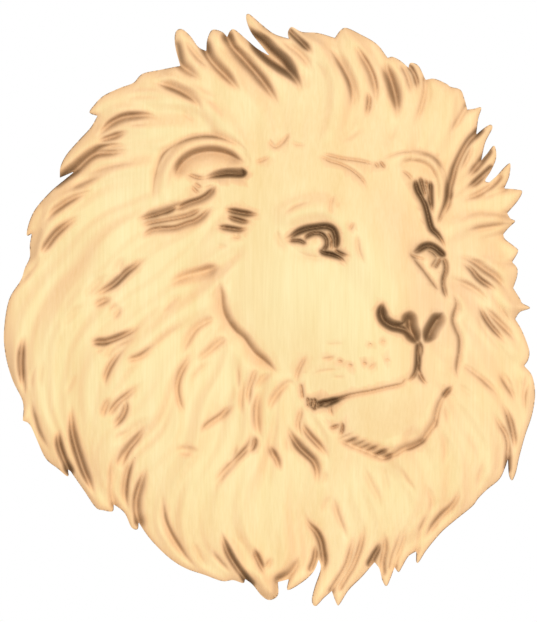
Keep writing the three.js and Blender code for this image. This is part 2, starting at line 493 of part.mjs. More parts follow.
// The edge of the cheek over the mane.
const CHEEK = [
  groove([[218, 278], [221, 294], [222, 307], [226, 319], [235, 331], [243, 338], [248, 345],
    [255, 354], [265, 362], [280, 375]], 12, 22, 5.5, SOFT, SHORT),
];

const FORMS = [
  ...HEAD,
  ...NOTCH_CUTS,
  ...MANE_CUTS,
  ...NEAR_EAR,
  ...EAR_TUFTS,
  ...FAR_EAR,
  ...FOREHEAD,
  ...NEAR_EYE,
  ...FAR_EYE,
  ...NOSE,
  ...MOUTH,
  ...CHIN,
  ...CHEEK,
];

// The outline as a closed ring of points, smooth between its notches.
function outlineRing() {
  const first = OUTLINE.findIndex((point) => point[2] === NOTCH);
  const turned = [...OUTLINE.slice(first), ...OUTLINE.slice(0, first + 1)];
  const ring = [];
  let run = [turned[0]];
  for (const point of turned.slice(1)) {
    run.push(point);
    if (point[2] !== NOTCH) continue;
    const curve = new THREE.SplineCurve(run.map(([x, y]) => new THREE.Vector2(x, y)));
    const pieces = Math.max(run.length - 1, Math.ceil(curve.getLength() / OUTLINE_STEP));
    ring.push(...curve.getPoints(pieces).slice(0, -1));
    run = [point];
  }
  return ring;
}

// Divides the edges of the ring until no other corner of it lies in the circle round an edge,
// so that every edge of the outline is an edge of the net of triangles.
function divideRing(ring) {
  for (let i = 0; i < ring.length; i++) {
    const from = ring[i];
    const to = ring[(i + 1) % ring.length];
    const middle = from.clone().lerp(to, 0.5);
    const radius = from.distanceTo(to) / 2;
    const crowded = ring.some((p) => p !== from && p !== to && p.distanceTo(middle) < radius);
    if (crowded && 2 * radius > CLOSEST) {
      ring.splice(i + 1, 0, middle);
      i = -1;
    }
  }
  return ring;
}

// Whether a place lies inside the ring.
function isInside(ring, x, y) {
  let inside = false;
  ring.forEach((a, i) => {
    const b = ring[(i + 1) % ring.length];
    if (a.y > y !== b.y > y && x < a.x + ((y - a.y) * (b.x - a.x)) / (b.y - a.y)) inside = !inside;
  });
  return inside;
}

// How far a place is from the nearest edge of the ring.
function rimDistance(ring, x, y) {
  let least = Infinity;
  ring.forEach((a, i) => {
    const b = ring[(i + 1) % ring.length];
    const dx = b.x - a.x;
    const dy = b.y - a.y;
    const u = THREE.MathUtils.clamp(((x - a.x) * dx + (y - a.y) * dy) / (dx * dx + dy * dy), 0, 1);
    least = Math.min(least, Math.hypot(x - a.x - u * dx, y - a.y - u * dy));
  });
  return least;
}

// The height of the carving over the flat back, in drawing units.
function carvedHeight(inward, x, y) {
  const surface = { rise: MANE_RISE * (1 - Math.exp(-inward / MANE_REACH)) + RIM_RISE, cut: 0 };
  for (const form of FORMS) form.change(x, y, surface);
  const board = BOARD / UNIT;
  const height = board + surface.rise - surface.cut - EDGE_DROP * Math.exp(-inward / EDGE_WIDTH);
  const spare = board - THINNEST;
  return height < board ? THINNEST + spare * Math.exp((height - board) / spare) : height;
}

// The places inside the outline where the surface has a vertex: along each cut and ridge and along
// both its shoulders, in a row beside the outline, and in a loose net over the rest.
function netPoints(ring) {
  const points = [];
  const add = (x, y, apart) => {
    if (!isInside(ring, x, y)) return;
    if (points.some((p) => Math.hypot(p.x - x, p.y - y) < apart)) return;
    const crowdsRim = ring.some((a, i) => {
      const b = ring[(i + 1) % ring.length];
      const middle = new THREE.Vector2((a.x + b.x) / 2, (a.y + b.y) / 2);
      return Math.hypot(middle.x - x, middle.y - y) < a.distanceTo(b) / 2 + RIM_GAP;
    });
    if (!crowdsRim) points.push(new THREE.Vector2(x, y));
  };
  for (const side of [0, 1, -1]) {
    for (const { track, left, right } of FORMS.filter((form) => form.track)) {
      const count = Math.max(2, Math.round(track.length / GROOVE_STEP));
      for (let i = 0; i <= count; i++) {
        const place = track.placeAt(i / count);
        const across = side * (side > 0 ? right : left) * SHOULDER;
        add(place.x - place.dy * across, place.y + place.dx * across, CLOSEST);
      }
    }
  }
  ring.forEach((a, i) => {
    const b = ring[(i + 1) % ring.length];
    const length = a.distanceTo(b);
    const x = (a.x + b.x) / 2 - ((b.y - a.y) / length) * EDGE_ROW;
    const y = (a.y + b.y) / 2 + ((b.x - a.x) / length) * EDGE_ROW;
    add(x, y, EDGE_ROW_GAP);
  });
  const rowStep = GROUND_STEP * Math.sin(Math.PI / 3);
  for (let row = 0; TOP + row * rowStep < BOTTOM; row++) {
    const shift = row % 2 ? GROUND_STEP / 2 : 0;
    for (let x = LEFT + shift; x < RIGHT; x += GROUND_STEP) {
      add(x, TOP + row * rowStep, GROUND_GAP);
    }
  }
  return points;
}

// The circle through three points.
function circleThrough(a, b, c) {
  const bx = b.x - a.x;
  const by = b.y - a.y;
  const cx = c.x - a.x;
  const cy = c.y - a.y;
  const twiceArea = 2 * (bx * cy - by * cx);
  const ux = (cy * (bx * bx + by * by) - by * (cx * cx + cy * cy)) / twiceArea;
  const uy = (bx * (cx * cx + cy * cy) - cx * (bx * bx + by * by)) / twiceArea;
  return { x: a.x + ux, y: a.y + uy, radiusSquared: ux * ux + uy * uy };
}

// The Delaunay net of triangles over the points, as triples of point numbers.
function triangulate(points) {
  const far = FAR_CORNERS * (BOTTOM - TOP);
  const all = [
    ...points,
    new THREE.Vector2(MIDDLE_X - far, MIDDLE_Y - far),
    new THREE.Vector2(MIDDLE_X + far, MIDDLE_Y - far),
    new THREE.Vector2(MIDDLE_X, MIDDLE_Y + far),
  ];
  const make = (...corners) => ({ corners, circle: circleThrough(...corners.map((n) => all[n])) });
  let triangles = [make(points.length, points.length + 1, points.length + 2)];
  points.forEach((p, n) => {
    const hit = ({ circle }) => (p.x - circle.x) ** 2 + (p.y - circle.y) ** 2 < circle.radiusSquared;
    const edges = new Map();
    const kept = [];
    for (const triangle of triangles) {
      if (!hit(triangle)) {
        kept.push(triangle);
        continue;
      }
      triangle.corners.forEach((from, i) => {
        const to = triangle.corners[(i + 1) % 3];
        if (!edges.delete(`${to} ${from}`)) edges.set(`${from} ${to}`, [from, to]);
      });
    }
    triangles = [...kept, ...[...edges.values()].map(([from, to]) => make(from, to, n))];
  });
  return triangles.map(({ corners }) => corners).filter((corners) => Math.max(...corners) < points.length);
}

// Whether three corners run clockwise as the drawing is seen, with y downwards.
function turnsRight(a, b, c) {
  return (b.x - a.x) * (c.y - a.y) - (b.y - a.y) * (c.x - a.x) > 0;
}

// The whole plaque as one closed surface: the carving, the edge of the board and the flat back.
function plaqueGeometry() {
  const ring = divideRing(outlineRing());
  const net = [...ring, ...netPoints(ring)];
  const vertices = [];
  const faces = [];
  net.forEach(({ x, y }, i) => {
    const inward = i < ring.length ? 0 : rimDistance(ring, x, y);
    vertices.push((x - MIDDLE_X) * UNIT, -carvedHeight(inward, x, y) * UNIT, (MIDDLE_Y - y) * UNIT);
  });
  for (const [a, b, c] of triangulate(net)) {
    const middleX = (net[a].x + net[b].x + net[c].x) / 3;
    const middleY = (net[a].y + net[b].y + net[c].y) / 3;
    if (!isInside(ring, middleX, middleY)) continue;
    faces.push(...(turnsRight(net[a], net[b], net[c]) ? [a, c, b] : [a, b, c]));
  }
  const back = net.length;
  for (const { x, y } of ring) vertices.push((x - MIDDLE_X) * UNIT, 0, (MIDDLE_Y - y) * UNIT);
  ring.forEach((_, i) => {
    const next = (i + 1) % ring.length;
    faces.push(i, next, back + i, next, back + next, back + i);
  });
  for (const [a, b, c] of THREE.ShapeUtils.triangulateShape(ring, [])) {
    const corners = turnsRight(ring[a], ring[b], ring[c]) ? [a, b, c] : [a, c, b];
    faces.push(...corners.map((corner) => back + corner));
  }
  const geometry = new THREE.BufferGeometry();
  geometry.setAttribute("position", new THREE.Float32BufferAttribute(vertices, 3));
  geometry.setIndex(faces);
  geometry.computeVertexNormals();
  return geometry;
}

const limewood = new THREE.MeshStandardMaterial({ color: 0xf6dca4, roughness: 0.62, metalness: 0 });

const plaque = new THREE.Mesh(plaqueGeometry(), limewood);
plaque.name = "lion_relief";

const group = new THREE.Group();
group.add(plaque);
export default group;
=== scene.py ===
"""The looks of a lion's head plaque, carved in relief from one pale board."""

import math

import bpy
import numpy as np
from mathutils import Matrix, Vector


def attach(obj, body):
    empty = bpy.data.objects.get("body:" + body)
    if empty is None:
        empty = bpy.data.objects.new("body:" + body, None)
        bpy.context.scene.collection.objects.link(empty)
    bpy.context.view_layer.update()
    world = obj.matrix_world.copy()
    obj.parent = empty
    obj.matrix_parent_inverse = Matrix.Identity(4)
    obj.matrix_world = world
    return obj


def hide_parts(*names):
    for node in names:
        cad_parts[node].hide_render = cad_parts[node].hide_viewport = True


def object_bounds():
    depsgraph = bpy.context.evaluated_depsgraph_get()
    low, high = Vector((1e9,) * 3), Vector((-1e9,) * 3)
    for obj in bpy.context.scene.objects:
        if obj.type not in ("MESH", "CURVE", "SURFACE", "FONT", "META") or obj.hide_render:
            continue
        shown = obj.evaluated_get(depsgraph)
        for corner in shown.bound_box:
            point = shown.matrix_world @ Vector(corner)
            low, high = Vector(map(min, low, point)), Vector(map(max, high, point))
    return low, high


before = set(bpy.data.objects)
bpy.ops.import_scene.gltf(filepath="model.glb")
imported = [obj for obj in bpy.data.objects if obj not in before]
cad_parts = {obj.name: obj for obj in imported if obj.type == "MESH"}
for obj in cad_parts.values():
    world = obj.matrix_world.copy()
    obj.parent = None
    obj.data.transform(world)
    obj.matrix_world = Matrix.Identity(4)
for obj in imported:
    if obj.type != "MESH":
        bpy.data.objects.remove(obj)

cad_box = [list(corner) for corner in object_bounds()]

# The drawing: x to the right, y down, one unit about the width of a strand of hair
LEFT, RIGHT, TOP, BOTTOM = 3, 536, 13, 607
MIDDLE_X, MIDDLE_Y = (LEFT + RIGHT) / 2, (TOP + BOTTOM) / 2
PITCH = 0.8  # of the grid that carries the heights, in drawing units

# Heights, in drawing units
BOARD = 8.87  # thickness of the board under the carving
THINNEST = 4.0  # that the deepest cuts leave of the board
MANE_RISE = 24.0  # how far the mane swells over the board
MANE_REACH = 78.0  # how far in from the outline it takes to swell
RIM_RISE = 5.0  # how far the locks stand over the board at the outline
EDGE_DROP, EDGE_WIDTH = 1.2, 2.2  # how far their edges are rounded over, down and inward
LIFT_REACH = 3.4  # how far a lifted lock reaches from its cut, in half widths of the cut
LIFT_NEAR, LIFT_FAR = 1.1, 2.4  # over how many of them it rises beside the cut, and falls off again
NARROW_END = 0.2  # width of a cut at its ends, as a share of its width
DEEPER, TOGETHER = 0.7, 0.3  # where two cuts meet: shares of the deeper one, and of both together
HAIR_ROUND, FACE_ROUND = 1.0, 0.75  # how far the edges of the cuts are sanded round
SWELL_ROUND = 5  # how far the swell of the mane is smoothed
RIM_ROUND = 9  # but not within about this distance of the outline
STRAND_START = 12  # how far in from the outline the strands of hair take to start
BARE_EDGE = 0.25  # how far into a bare oval they fade, as a share of its swell
FARTHEST = 160.0  # how far from the outline distances to it are measured
SOFT, SHARP = 2, 1.4  # powers for the sides of a cut: rounded over at the top, or nearly straight
LONG, OPEN, SHORT = (0.35, 0.45), (0, 0.45), (0.22, 0.22)  # shares of a cut that its two ends fade over


def ease(x):
    """Goes smoothly from 0 to 1 as x does."""
    x = np.clip(x, 0, 1)
    return x * x * (3 - 2 * x)


def smooth_path(points, pieces=8):
    """Places along a smooth curve through points, which are given as x, y, x, y and so on."""
    knots = np.array(points, float).reshape(-1, 2)
    ends = np.vstack([2 * knots[0] - knots[1], knots, 2 * knots[-1] - knots[-2]])
    u = (np.arange(1, pieces + 1) / pieces)[:, None]
    path = [knots[:1]]
    for a, b, c, d in zip(ends, ends[1:], ends[2:], ends[3:]):
        curve = 2 * b + (c - a) * u + (2 * a - 5 * b + 4 * c - d) * u**2 + (3 * b - a - 3 * c + d) * u**3
        path.append(curve / 2)
    return np.vstack(path)


def blur(values, sigma):
    """Values on a grid, softened over sigma steps of it."""
    reach = int(np.ceil(3 * sigma))
    weights = np.exp(-0.5 * (np.arange(-reach, reach + 1) / sigma) ** 2)
    weights /= weights.sum()
    for _ in range(2):
        padded = np.pad(values, ((reach, reach), (0, 0)), mode="edge")
        values = sum(w * padded[i : i + len(values)] for i, w in enumerate(weights)).T
    return values


def between(values, x, y):
    """Values on a grid of whole steps, read between its points."""
    x = np.clip(x, 0, values.shape[1] - 1.001)
    y = np.clip(y, 0, values.shape[0] - 1.001)
    i, j = x.astype(int), y.astype(int)
    u, v = x - i, y - j
    upper = values[j, i] * (1 - u) + values[j, i + 1] * u
    lower = values[j + 1, i] * (1 - u) + values[j + 1, i + 1] * u
    return upper * (1 - v) + lower * v


class Relief:
    """The heights of the carving on a grid: what rises, and what is cut into it."""

    def __init__(self, pitch):
        self.pitch = pitch
        self.columns = int((RIGHT + LEFT) / pitch) + 2
        self.rows = int((BOTTOM + TOP) / pitch) + 2
        self.x, self.y = np.meshgrid(np.arange(self.columns) * pitch, np.arange(self.rows) * pitch)
        self.rise = np.zeros_like(self.x)
        self.cut = np.zeros_like(self.x)

    def window(self, low, high):
        """The part of the grid between two corners of the drawing."""
        first = np.maximum(np.floor(np.array(low) / self.pitch).astype(int), 0)
        last = np.maximum(np.ceil(np.array(high) / self.pitch).astype(int) + 1, 0)
        return slice(first[1], last[1]), slice(first[0], last[0])

    def near(self, path, reach):
        """For the places near a path: how far off they are, how far along, and if on its right."""
        points = smooth_path(path)
        window = self.window(points.min(0) - reach, points.max(0) + reach)
        x, y = self.x[window], self.y[window]
        spans = np.diff(points, axis=0)
        lengths = np.hypot(*spans.T)
        before = np.concatenate([[0], np.cumsum(lengths)])
        nearest = np.full(x.shape, np.inf)
        along = np.zeros(x.shape)
        right = np.zeros(x.shape, bool)
        for (px, py), (dx, dy), length, start in zip(points, spans, lengths, before):
            u = np.clip(((x - px) * dx + (y - py) * dy) / length**2, 0, 1)
            ox, oy = x - px - u * dx, y - py - u * dy
            squared = ox * ox + oy * oy
            closer = squared < nearest
            nearest = np.where(closer, squared, nearest)
            along = np.where(closer, (start + u * length) / before[-1], along)
            right = np.where(closer, dx * oy - dy * ox > 0, right)
        return window, np.sqrt(nearest), along, right

    def distance(self, ring):
        """How far each place is from the outline, below 0 outside it."""
        squared = np.full(self.x.shape, FARTHEST**2)
        inside = np.zeros(self.x.shape, bool)
        for (ax, ay), (bx, by) in zip(ring, np.roll(ring, -1, axis=0)):
            dx, dy = bx - ax, by - ay
            low = min(ax, bx) - FARTHEST, min(ay, by) - FARTHEST
            high = max(ax, bx) + FARTHEST, max(ay, by) + FARTHEST
            window = self.window(low, high)
            x, y = self.x[window], self.y[window]
            u = np.clip(((x - ax) * dx + (y - ay) * dy) / (dx * dx + dy * dy), 0, 1)
            ox, oy = x - ax - u * dx, y - ay - u * dy
            squared[window] = np.minimum(squared[window], ox**2 + oy**2)
            if ay != by:
                rows = (self.y >= min(ay, by)) & (self.y < max(ay, by))
                inside ^= rows & (self.x < ax + (self.y - ay) * dx / dy)
        return np.where(inside, 1, -1) * np.sqrt(squared)


def cut(path, left, right, depth, ends=LONG, power=SOFT, lift=0):
    """A cut along a path, with its half widths to the left and right of the way the path runs.
    A lift above 0 raises the lock on its right, and one below 0 the lock on its left."""

    def carve(relief):
        reach = max(left, right) * (LIFT_REACH if lift else 1)
        window, off, along, on_right = relief.near(path, reach)
        fade = ease((1 - along) / ends[1]) * (ease(along / ends[0]) if ends[0] else 1)
        off = off / (np.where(on_right, right, left) * (NARROW_END + (1 - NARROW_END) * fade))
        new = depth * fade * np.clip(1 - off, 0, 1) ** power
        old = relief.cut[window]
        relief.cut[window] = DEEPER * np.maximum(old, new) + TOGETHER * np.hypot(old, new)
        if lift:
            shoulder = abs(lift) * fade * ease(off / LIFT_NEAR) * ease((LIFT_REACH - off) / LIFT_FAR)
            relief.rise[window] += np.where(on_right == (lift > 0), shoulder, 0)

    carve.path = path
    return carve


def ridge(path, left, right, height, power=2, start_fade=0.3, end_fade=0.3):
    """A rounded ridge along a path, with its half widths and the shares that its ends fade over."""

    def carve(relief):
        window, off, along, on_right = relief.near(path, max(left, right))
        fade = ease(along / start_fade) * ease((1 - along) / end_fade)
        off = np.clip(off / np.where(on_right, right, left), 0, 1)
        relief.rise[window] += height * fade * (1 - off * off) ** power

    return carve


def oval(relief, centre, radii, turn):
    """1 at the centre of an oval, and 0 at its edge and beyond."""
    angle = np.radians(turn)
    dx, dy = relief.x - centre[0], relief.y - centre[1]
    u = (dx * np.cos(angle) + dy * np.sin(angle)) / radii[0]
    v = (dy * np.cos(angle) - dx * np.sin(angle)) / radii[1]
    return np.clip(1 - u * u - v * v, 0, 1)


def mound(centre, radii, turn, height, power=1.5):
    """An oval swelling, or a hollow where the height is below 0."""

    def carve(relief):
        relief.rise += height * oval(relief, centre, radii, turn) ** power

    carve.path = None
    return carve


# The outline, clockwise, smooth along its locks: a row for each, from one notch up to the next
OUTLINE = [
    [59, 177, 60, 166, 66, 154, 78, 140, 90, 127],
    [97, 115, 89, 112, 93, 105, 103, 95, 120, 87, 133, 82, 142, 73, 160, 69],
    [180, 65, 175, 46, 175, 32, 181, 28, 190, 35, 198, 46],
    [206, 50, 207, 39, 212, 29, 222, 31],
    [227, 36, 230, 30, 235, 29, 248, 40, 258, 48],
    [270, 55, 262, 45, 251, 31, 246, 17, 249, 13, 261, 23, 274, 33],
    [289, 38, 288, 31, 292, 26, 302, 31, 318, 32],
    [335, 37, 341, 29, 347, 27, 360, 33, 377, 43],
    [388, 57, 393, 56, 401, 60],
    [409, 67, 411, 62, 419, 65],
    [426, 79, 435, 78, 447, 83, 451, 86, 461, 89, 465, 98],
    [468, 109, 475, 108, 482, 107, 479, 118],
    [477, 134, 484, 128, 491, 124, 493, 128, 486, 142],
    [482, 160, 488, 153, 495, 145, 497, 157, 492, 170, 486, 180],
    [490, 182, 498, 175, 505, 167, 511, 163, 510, 176],
    [505, 188, 517, 189, 523, 191, 519, 200],
    [508, 213, 511, 218, 516, 221, 510, 227],
    [504, 234, 506, 239, 515, 246, 519, 251],
    [513, 262, 518, 268, 518, 276],
    [514, 288, 521, 299, 523, 303, 531, 308, 521, 312],
    [516, 319, 523, 331, 530, 350, 529, 360],
    [525, 366, 533, 376, 536, 394, 533, 415, 526, 436, 520, 458, 517, 472, 513, 481, 510, 475],
    [509, 459, 506, 468, 500, 480, 488, 490, 479, 499, 473, 507, 457, 520, 442, 533, 427, 551, 420, 562,
      417, 563],
    [417, 552, 409, 557, 403, 567, 399, 573],
    [395, 568, 391, 579, 387, 587, 383, 582, 380, 570],
    [375, 563, 362, 578, 349, 591, 340, 605, 337, 605],
    [332, 592, 324, 599, 316, 607, 312, 602, 315, 588, 321, 570],
    [319, 560, 314, 572, 304, 582, 288, 591],
    [289, 580],
    [278, 583, 278, 596, 270, 601, 262, 597, 253, 586],
    [245, 580, 243, 584, 233, 581, 222, 582, 205, 576, 185, 569, 168, 558, 150, 540],
    [138, 523, 137, 530, 131, 528, 125, 515, 119, 509],
    [113, 505, 112, 512, 103, 511, 95, 508, 84, 492],
    [70, 472],
    [67, 470, 67, 477, 57, 469, 45, 459, 36, 440, 29, 425],
    [22, 421, 22, 402, 12, 381, 5, 357, 3, 332, 8, 300, 20, 280, 24, 268, 29, 257, 29, 245],
    [31, 233, 26, 235, 28, 223, 35, 208, 50, 191, 64, 179],
    [75, 170],
]

# The cuts that run in from the notches
NOTCH_CUTS = [
    cut([176, 45, 180, 62, 189, 70.5, 204, 80], 9, 8, 6.5, OPEN),
    cut([55, 182, 75, 169.5, 84, 161, 92, 155, 99, 152.5, 112, 152, 134, 150], 10, 7, 8.5, OPEN, lift=-3),
    cut([69, 472, 62, 456, 58, 442, 59, 426], 6, 5, 9.5, OPEN),
    cut([113.5, 506, 111, 495, 110.7, 480, 111.5, 465, 114.5, 452], 3, 10, 3.2, OPEN),
    cut([138, 523, 135.5, 512, 135.5, 500, 138, 490, 142, 478, 148, 464], 5, 10, 7.5, OPEN),
    cut([249, 585, 245, 580, 237, 569, 229, 556, 224, 543, 220, 528], 4, 6, 7.5, OPEN, lift=3),
    cut([279, 581, 290, 575, 297, 565, 301, 553], 7, 5, 5, OPEN),
    cut([311, 570, 314.5, 561, 316, 552, 316, 542], 4, 3, 7.5, OPEN),
    cut([322, 576, 324, 563, 322.5, 551, 320.5, 541, 316, 532, 308, 523, 302, 508],
      5, 4.5, 8.5, [0.25, 0.5]),
    cut([331, 592, 338, 581, 344, 571.5, 348.5, 561.5, 351.5, 550, 354.5, 539, 357, 526], 3.5, 4, 5, OPEN),
    cut([340, 589, 346, 578.5, 352, 569, 356.5, 559, 360, 549, 362.5, 539, 364, 529, 362, 517],
      4, 3.5, 5.5, OPEN),
    cut([370, 565, 374.5, 556.5, 378.5, 549.5, 381.5, 540], 3.5, 4, 9, OPEN),
    cut([383, 573, 382.5, 562, 384.5, 551, 385, 542, 383, 530], 4, 5.5, 5.5, OPEN),
    cut([391, 569, 393, 558.5, 397, 547.5, 400.5, 537, 404.5, 526], 2.5, 2.5, 4.5, OPEN),
    cut([395, 568, 397, 559, 401, 549, 404.5, 538, 408, 523], 2.5, 3, 4.5, OPEN),
    cut([418, 552, 420, 540, 425, 526, 432, 508], 4, 4, 2, OPEN),
    cut([508, 470, 508.5, 456, 509, 445, 506.5, 434.5, 500.5, 425, 495.5, 415, 492, 405],
      3, 3.5, 5.5, OPEN),
    cut([514.5, 458, 515.3, 444, 513.5, 432, 510.5, 420, 506, 409, 500, 399], 4.5, 4, 6.5),
    cut([492, 168, 486, 173.5, 480, 179, 474, 184, 465, 190], 4, 4.5, 8, OPEN),
    cut([500, 177, 493, 184.5, 486, 189.5, 478, 194, 468, 198, 459, 201], 4.5, 4.5, 5, OPEN),
    cut([490, 151, 482, 161, 476, 168, 466, 180], 4, 5, 6.5, OPEN),
    cut([481, 129, 476, 134, 470, 140, 464, 149, 458.5, 160, 455, 169, 452.5, 179, 450, 189, 449, 200,
      444.5, 212, 440, 221, 436, 227], 4.5, 5, 7.5, [0, 0.3]),
    cut([477, 139, 472, 149, 467.5, 159, 463, 168, 459, 178], 3.5, 3.5, 4.5),
    cut([468, 104, 462, 115, 456, 125, 449, 137], 4, 4, 3.5, OPEN),
    cut([385, 56, 388, 70, 392, 82, 395, 93, 397, 104, 398, 120], 11, 9, 11),
    cut([379, 58, 384, 68, 388, 79, 391.5, 92, 394, 106], 2, 4, 5),
    cut([404, 66, 408.5, 75, 411.5, 85, 413, 96], 1.5, 4.5, 5, OPEN),
    cut([411, 66, 415.5, 74, 418, 83, 418.5, 92], 2, 4, 8, OPEN),
    cut([426.5, 78, 426, 92, 422.5, 106, 418, 118, 412, 130], 1.5, 4.5, 4, OPEN),
    cut([429, 80, 430, 92, 428, 106], 2, 3, 1.5, OPEN),
    cut([290, 31, 298, 39, 306, 47, 314, 55], 6.5, 2, 11, OPEN),
    cut([246, 23, 255, 38, 262, 47, 270, 55, 280, 63, 289, 71, 297, 81, 303, 94],
      13, 9, 18, [0.3, 0.45], SHARP, -4),
    cut([227, 36, 233, 47, 243, 58, 252, 68, 262, 80, 272, 94, 282, 112], 9, 8, 8, OPEN, lift=-2),
    cut([204, 46, 208, 56, 216, 66, 227, 77, 243, 94], 10, 6, 7, OPEN, lift=-2),
    cut([505, 235, 490, 238, 475, 241], 5, 5, 1.5, OPEN),
    cut([508, 214, 492, 212, 474, 212], 6, 6, 1.5, OPEN),
    cut([506, 188, 494, 193, 478, 200], 5, 5, 2.5, OPEN),
    cut([513, 262, 500, 261, 485, 258], 6, 5, 1.5, OPEN),
]

